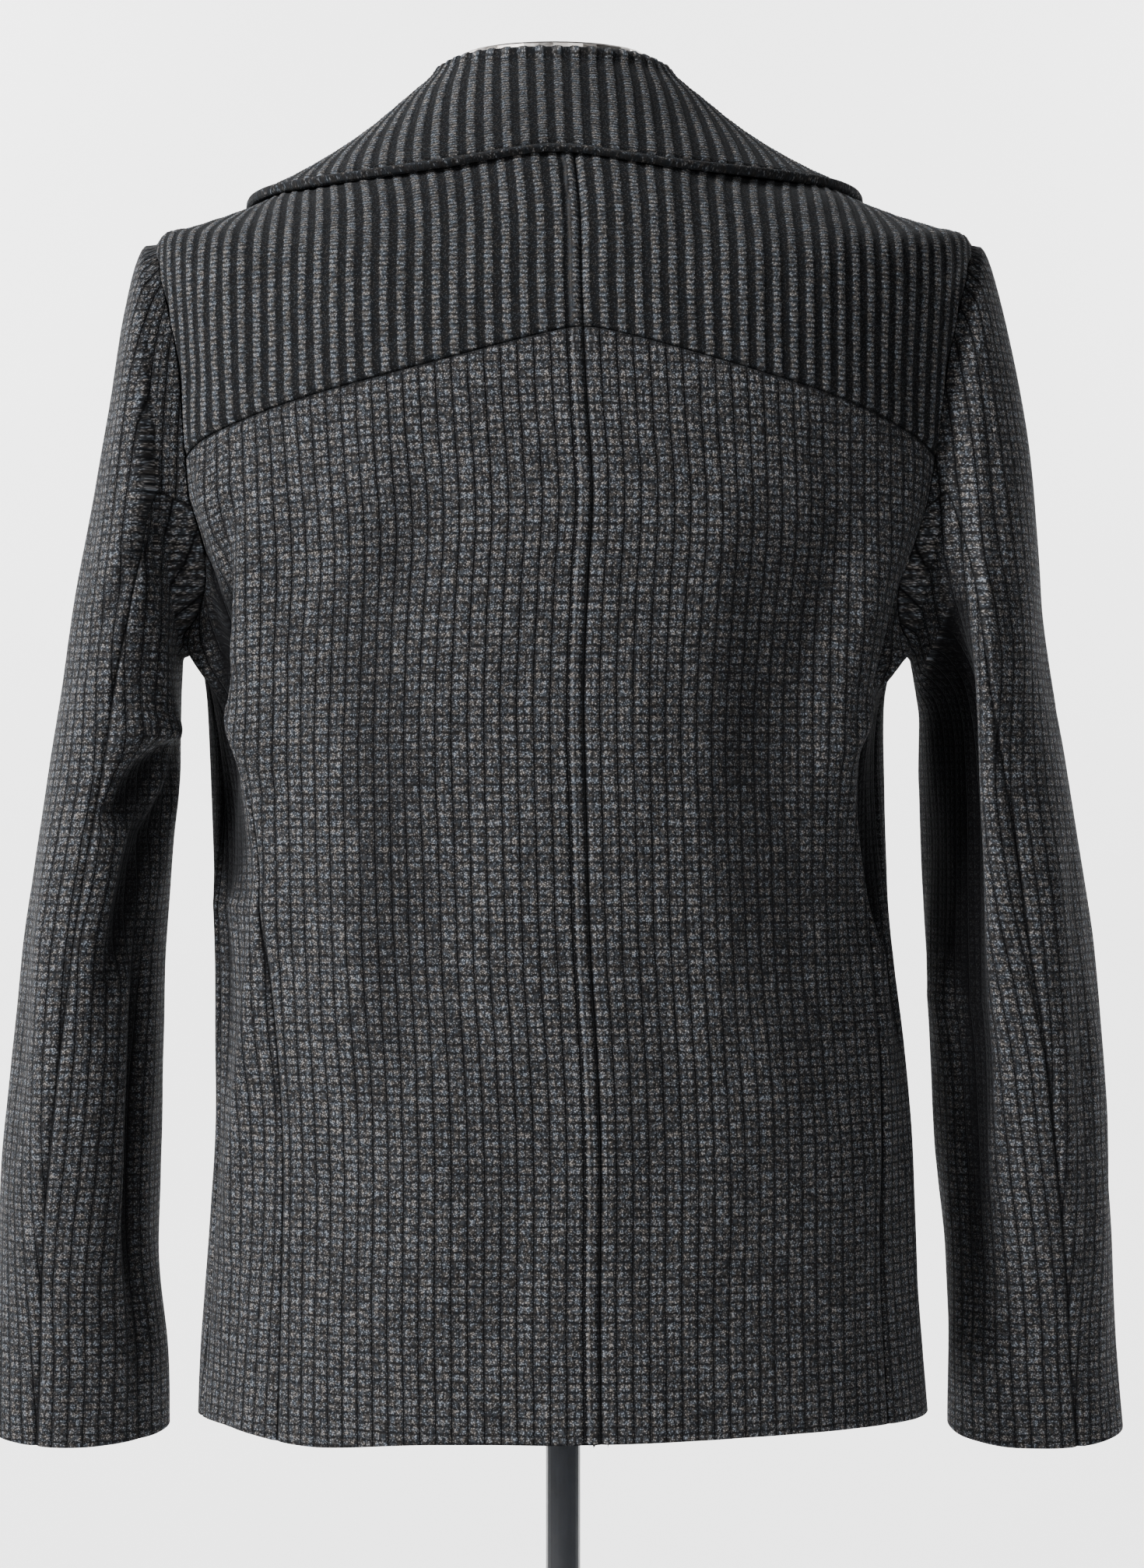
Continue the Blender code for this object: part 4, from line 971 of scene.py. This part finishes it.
def check_group(fibres):
    """Small check of a basket weave: dark lines down, finer ones across, two knots to a cell."""
    group, n, flat, speckle, end = weave_group("check weave", fibres)
    threads = wobbled(n, wobbled(n, flat, 520.0, 0.0012), 30.0, 0.0014)
    xyz = n.add("ShaderNodeSeparateXYZ", (), {0: threads})
    wide = n.math("DIVIDE", xyz.outputs["X"], CHECK_WIDE)
    tall = n.math("DIVIDE", xyz.outputs["Y"], CHECK_TALL)
    # Two knots lie at 0.31 and 0.69 of a cell, and the dark line is at its edge.
    off_middle = n.off(n.fract(wide), 0.5)
    knot_x = n.smooth(n.off(off_middle, 0.19), 0.05, 0.22, 1.0, 0.15)
    knot_y = n.smooth(n.off(n.fract(tall), 0.5), 0.20, 0.49, 1.0, 0.0)
    knot = n.times(knot_x, knot_y)
    line = n.smooth(off_middle, 0.425, 0.495)
    bright = n.scaled(random_cell(n, n.times(wide, 2.0), tall), 0.80, 0.38)
    body = n.scaled(n.times(knot, bright), 0.78, 0.17)
    shaded = n.times(body, n.scaled(line, -0.92, 1.0))
    n.join(n.times(shaded, n.scaled(speckle, 1.75, 0.16), clamp=True), end["Light"])
    height = n.plus(n.times(knot, 0.00055), n.times(speckle, 0.00028))
    n.join(n.less(height, n.times(line, 0.0005)), end["Height"])
    return group


def stripe_group(fibres):
    """Light looped stripes with rungs across them, on a dark ground."""
    group, n, flat, speckle, end = weave_group("looped stripes", fibres)
    xyz = n.add("ShaderNodeSeparateXYZ", (), {0: wobbled(n, flat, 420.0, 0.0018)})
    wide, tall = xyz.outputs["X"], xyz.outputs["Y"]
    off = n.times(n.off(n.fract(n.scaled(wide, 1 / STRIPE_PITCH, 0.25)), 0.5), 2.0)
    stripe = n.smooth(off, 0.30, 0.60, 1.0, 0.0)
    bow = n.times(n.math("POWER", off, 2.0), STRIPE_BOW)
    rung_at = n.math("DIVIDE", n.less(tall, bow), RUNG_PITCH)
    rung = n.smooth(n.times(n.off(n.fract(rung_at), 0.5), 2.0), 0.10, 0.80)
    random = random_cell(n, n.scaled(wide, 2 / STRIPE_PITCH, 0.5), n.plus(rung_at, 0.5))
    loops = n.times(n.scaled(rung, 0.85, 0.25), n.scaled(random, 0.5, 0.6))
    light = n.scaled(n.times(stripe, loops), 0.88, 0.075)
    n.join(n.times(light, n.scaled(speckle, 1.5, 0.24), clamp=True), end["Light"])
    height = n.times(n.times(stripe, rung), 0.00035)
    n.join(n.plus(height, n.times(speckle, 0.0004)), end["Height"])
    return group


def new_material(name):
    made = bpy.data.materials.new(name)
    made.use_nodes = True
    return made, Nodes(made.node_tree), made.node_tree.nodes["Principled BSDF"].inputs


def wool(name, group, dark, light, edge_width):
    """Brushed wool: the weave's light and dark, with shade painted into its colour in the seams and the
    troughs, and a soft sheen.
    """
    made, n, shader = new_material(name)
    uv = n.add("ShaderNodeUVMap", uv_map="cloth").outputs[0]
    weave = n.add("ShaderNodeGroup", (), {"Vector": uv}, node_tree=group).outputs
    plain = n.mark("plain")
    mottled = n.scaled(weave["Mottle"], 0.75, 0.06)
    woven = n.plus(n.times(weave["Light"], n.less(1.0, plain)), n.times(mottled, plain))
    # The stitches add a lighter line, and the allowance's edge a dark line of painted shade.
    stitched = n.plus(woven, n.times(n.mark("stitches_and_shade"), 0.12), clamp=True)
    # Painted shade: the colour is darkened to 12% along the seams, as the shade in their grooves.
    seam = n.smooth(n.mark("edge"), 0.0, edge_width, 0.12, 1.0)
    patch = n.scaled(weave["Patches"], 0.30, 0.85)
    # Painted shade: the hollow mark darkens the colour to 4% in the deepest troughs.
    shaded = n.times(patch, n.scaled(n.mark("hollow"), -0.96, 1.0))
    amount = n.times(n.times(stitched, seam), shaded)
    # Brown and blue fibres are blended into the grey.
    blend = n.smooth(n.noise(uv, 260.0, 2.0, 0.6), 0.35, 0.65)
    warm = (light[0] * 1.10, light[1], light[2] * 0.88, 1.0)
    cool = (light[0] * 0.90, light[1], light[2] * 1.10, 1.0)
    mix = "ShaderNodeMix"
    yarn = n.add(mix, {6: warm, 7: cool}, {"Factor": blend}, data_type="RGBA").outputs[2]
    colour = n.add(mix, {6: (*dark, 1.0)}, {"Factor": amount, 7: yarn}, data_type="RGBA").outputs[2]
    n.join(colour, shader["Base Color"])
    n.join(n.bump(weave["Height"]), shader["Normal"])
    n.join(n.scaled(weave["Light"], -0.08, 0.97), shader["Roughness"])
    shader["Specular IOR Level"].default_value = 0.05
    shader["Sheen Weight"].default_value = 0.05
    shader["Sheen Roughness"].default_value = 0.5
    shader["Sheen Tint"].default_value = (0.62, 0.64, 0.68, 1.0)
    return made


def plain_material(name, colours, scale, rough, bump_height, metallic=0.0, drawn_up=1.0, coat=0.0):
    """A finish with a fine grain: two colours, two roughnesses, and a bump height in metres."""
    made, n, shader = new_material(name)
    place = n.add("ShaderNodeTexCoord").outputs["Object"]
    stretch = {"Scale": (1.0, 1.0, drawn_up)}
    spread = n.add("ShaderNodeMapping", stretch, {"Vector": place}).outputs[0]
    grain = n.noise(spread, scale, 4.0, 0.6)
    low, high = ((*colour, 1.0) for colour in colours)
    share = {"Factor": n.smooth(grain, 0.3, 0.7)}
    colour = n.add("ShaderNodeMix", {6: low, 7: high}, share, data_type="RGBA").outputs[2]
    n.join(colour, shader["Base Color"])
    n.join(n.smooth(grain, 0.3, 0.7, *rough), shader["Roughness"])
    n.join(n.bump(n.times(grain, bump_height)), shader["Normal"])
    shader["Metallic"].default_value = metallic
    shader["Coat Weight"].default_value = coat
    return made


def finish_nodes():
    """Gives the form, the stand and the buttons their finishes."""
    jersey = ((0.50, 0.48, 0.45), (0.60, 0.58, 0.55))
    metal = ((0.33, 0.29, 0.26), (0.62, 0.60, 0.58))
    pole_paint = ((0.006, 0.008, 0.012), (0.010, 0.013, 0.020))
    base_paint = ((0.006, 0.008, 0.012), (0.012, 0.014, 0.020))
    brown = ((0.006, 0.005, 0.0045), (0.030, 0.022, 0.016))
    form = plain_material("form jersey", jersey, 1400.0, (0.85, 0.95), 0.0002)
    cap = plain_material(
        "turned neck cap", metal, 240.0, (0.28, 0.42), 0.00004, metallic=1.0, drawn_up=6.0
    )
    pole = plain_material("pole paint", pole_paint, 180.0, (0.16, 0.24), 0.00002, coat=0.5)
    base = plain_material("base paint", base_paint, 220.0, (0.22, 0.34), 0.00003, coat=0.4)
    horn = plain_material("horn", brown, 90.0, (0.36, 0.50), 0.00003, drawn_up=3.0)
    finishes = {"dress_form": form, "neck_cap": cap, "stand_pole": pole, "stand_base": base}
    for number in (1, 2, 3):
        finishes[f"button_{number}"] = horn
    for name, finish in finishes.items():
        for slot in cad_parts[name].material_slots:
            slot.material = finish


def backdrop():
    """A pale floor that rises softly into a pale wall."""
    bend, far, near, half, top = 0.9, 3.0, -4.5, 5.0, 5.5
    bm = bmesh.new()
    steps = 24
    profile = [(near, 0.0)]
    for step in range(steps + 1):
        turn = 0.5 * math.pi * step / steps
        profile.append((far - bend + bend * math.sin(turn), bend - bend * math.cos(turn)))
    profile.append((far, top))
    line = [bm.verts.new((-half, y, z)) for y, z in profile]
    edges = [bm.edges.new(pair) for pair in zip(line, line[1:])]
    made = bmesh.ops.extrude_edge_only(bm, edges=edges)
    moved = [item for item in made["geom"] if isinstance(item, bmesh.types.BMVert)]
    bmesh.ops.translate(bm, verts=moved, vec=(2 * half, 0.0, 0.0))
    bm.faces.ensure_lookup_table()
    bm.normal_update()
    if bm.faces[0].normal.z < 0:
        bmesh.ops.reverse_faces(bm, faces=bm.faces[:])
    mesh = bpy.data.meshes.new("studio_floor")
    bm.to_mesh(mesh)
    bm.free()
    mesh.shade_smooth()
    white = ((0.80, 0.80, 0.80), (0.82, 0.82, 0.82))
    paper = plain_material("studio paper", white, 3.0, (0.9, 0.95), 0.0)
    # The wall is clear from behind, so the coat's front is seen past it.
    n = Nodes(paper.node_tree)
    behind = n.add("ShaderNodeNewGeometry").outputs["Backfacing"]
    clear = n.add("ShaderNodeBsdfTransparent").outputs[0]
    facing = paper.node_tree.nodes["Principled BSDF"].outputs[0]
    seen = n.add("ShaderNodeMixShader", (), {0: behind, 1: facing, 2: clear}).outputs[0]
    n.join(seen, paper.node_tree.nodes["Material Output"].inputs["Surface"])
    mesh.materials.append(paper)
    obj = new_object("studio_floor", mesh)


def area_light(name, place, aim, size, power):
    light = bpy.data.lights.new(name, "AREA")
    light.shape = "RECTANGLE"
    light.size, light.size_y = size
    light.energy = power
    obj = new_object(name, light)
    obj.location = place
    obj.rotation_euler = (Vector(aim) - Vector(place)).to_track_quat("-Z", "Y").to_euler()


def studio():
    """The room and its lights."""
    world = bpy.data.worlds.new("studio")
    world.use_nodes = True
    background = world.node_tree.nodes["Background"]
    background.inputs["Color"].default_value = (0.93, 0.94, 0.96, 1.0)
    background.inputs["Strength"].default_value = 0.04
    # The room beyond the paper looks as pale as the paper, and lights the coat little.
    n = Nodes(world.node_tree)
    pale = n.add("ShaderNodeBackground", {"Color": (0.93, 0.93, 0.93, 1.0), "Strength": 2.2})
    looked_at = n.add("ShaderNodeLightPath").outputs["Is Camera Ray"]
    links = {0: looked_at, 1: background.outputs[0], 2: pale.outputs[0]}
    room = n.add("ShaderNodeMixShader", (), links).outputs[0]
    n.join(room, world.node_tree.nodes["World Output"].inputs["Surface"])
    bpy.context.scene.world = world
    for light in LIGHTS:
        area_light(*light)


def photo_camera():
    data = bpy.data.cameras.new("photo_camera")
    data.sensor_fit = "VERTICAL"
    data.sensor_height = 36.0
    data.lens = 95.7
    data.clip_end = 30.0
    obj = new_object("photo_camera", data)
    obj.location = (0.0052, -2.44, 1.12)
    obj.rotation_euler = (math.pi / 2, 0.0, 0.0)
    bpy.context.scene.camera = obj


def main():
    fibres = fuzz_group()
    check = wool("check wool", check_group(fibres), *CHECK_COLOURS, 0.0022)
    stripe = wool("stripe wool", stripe_group(fibres), *STRIPE_COLOURS, 0.0020)
    for side in HANDS:
        back_panel(side, check)
        yoke_panel(side, stripe)
        side_panel(side, check)
        front_panel(side, check)
        lapel(side, check)
        sleeve(side, check)
    collar(stripe)
    finish_nodes()
    backdrop()
    studio()
    photo_camera()


main()
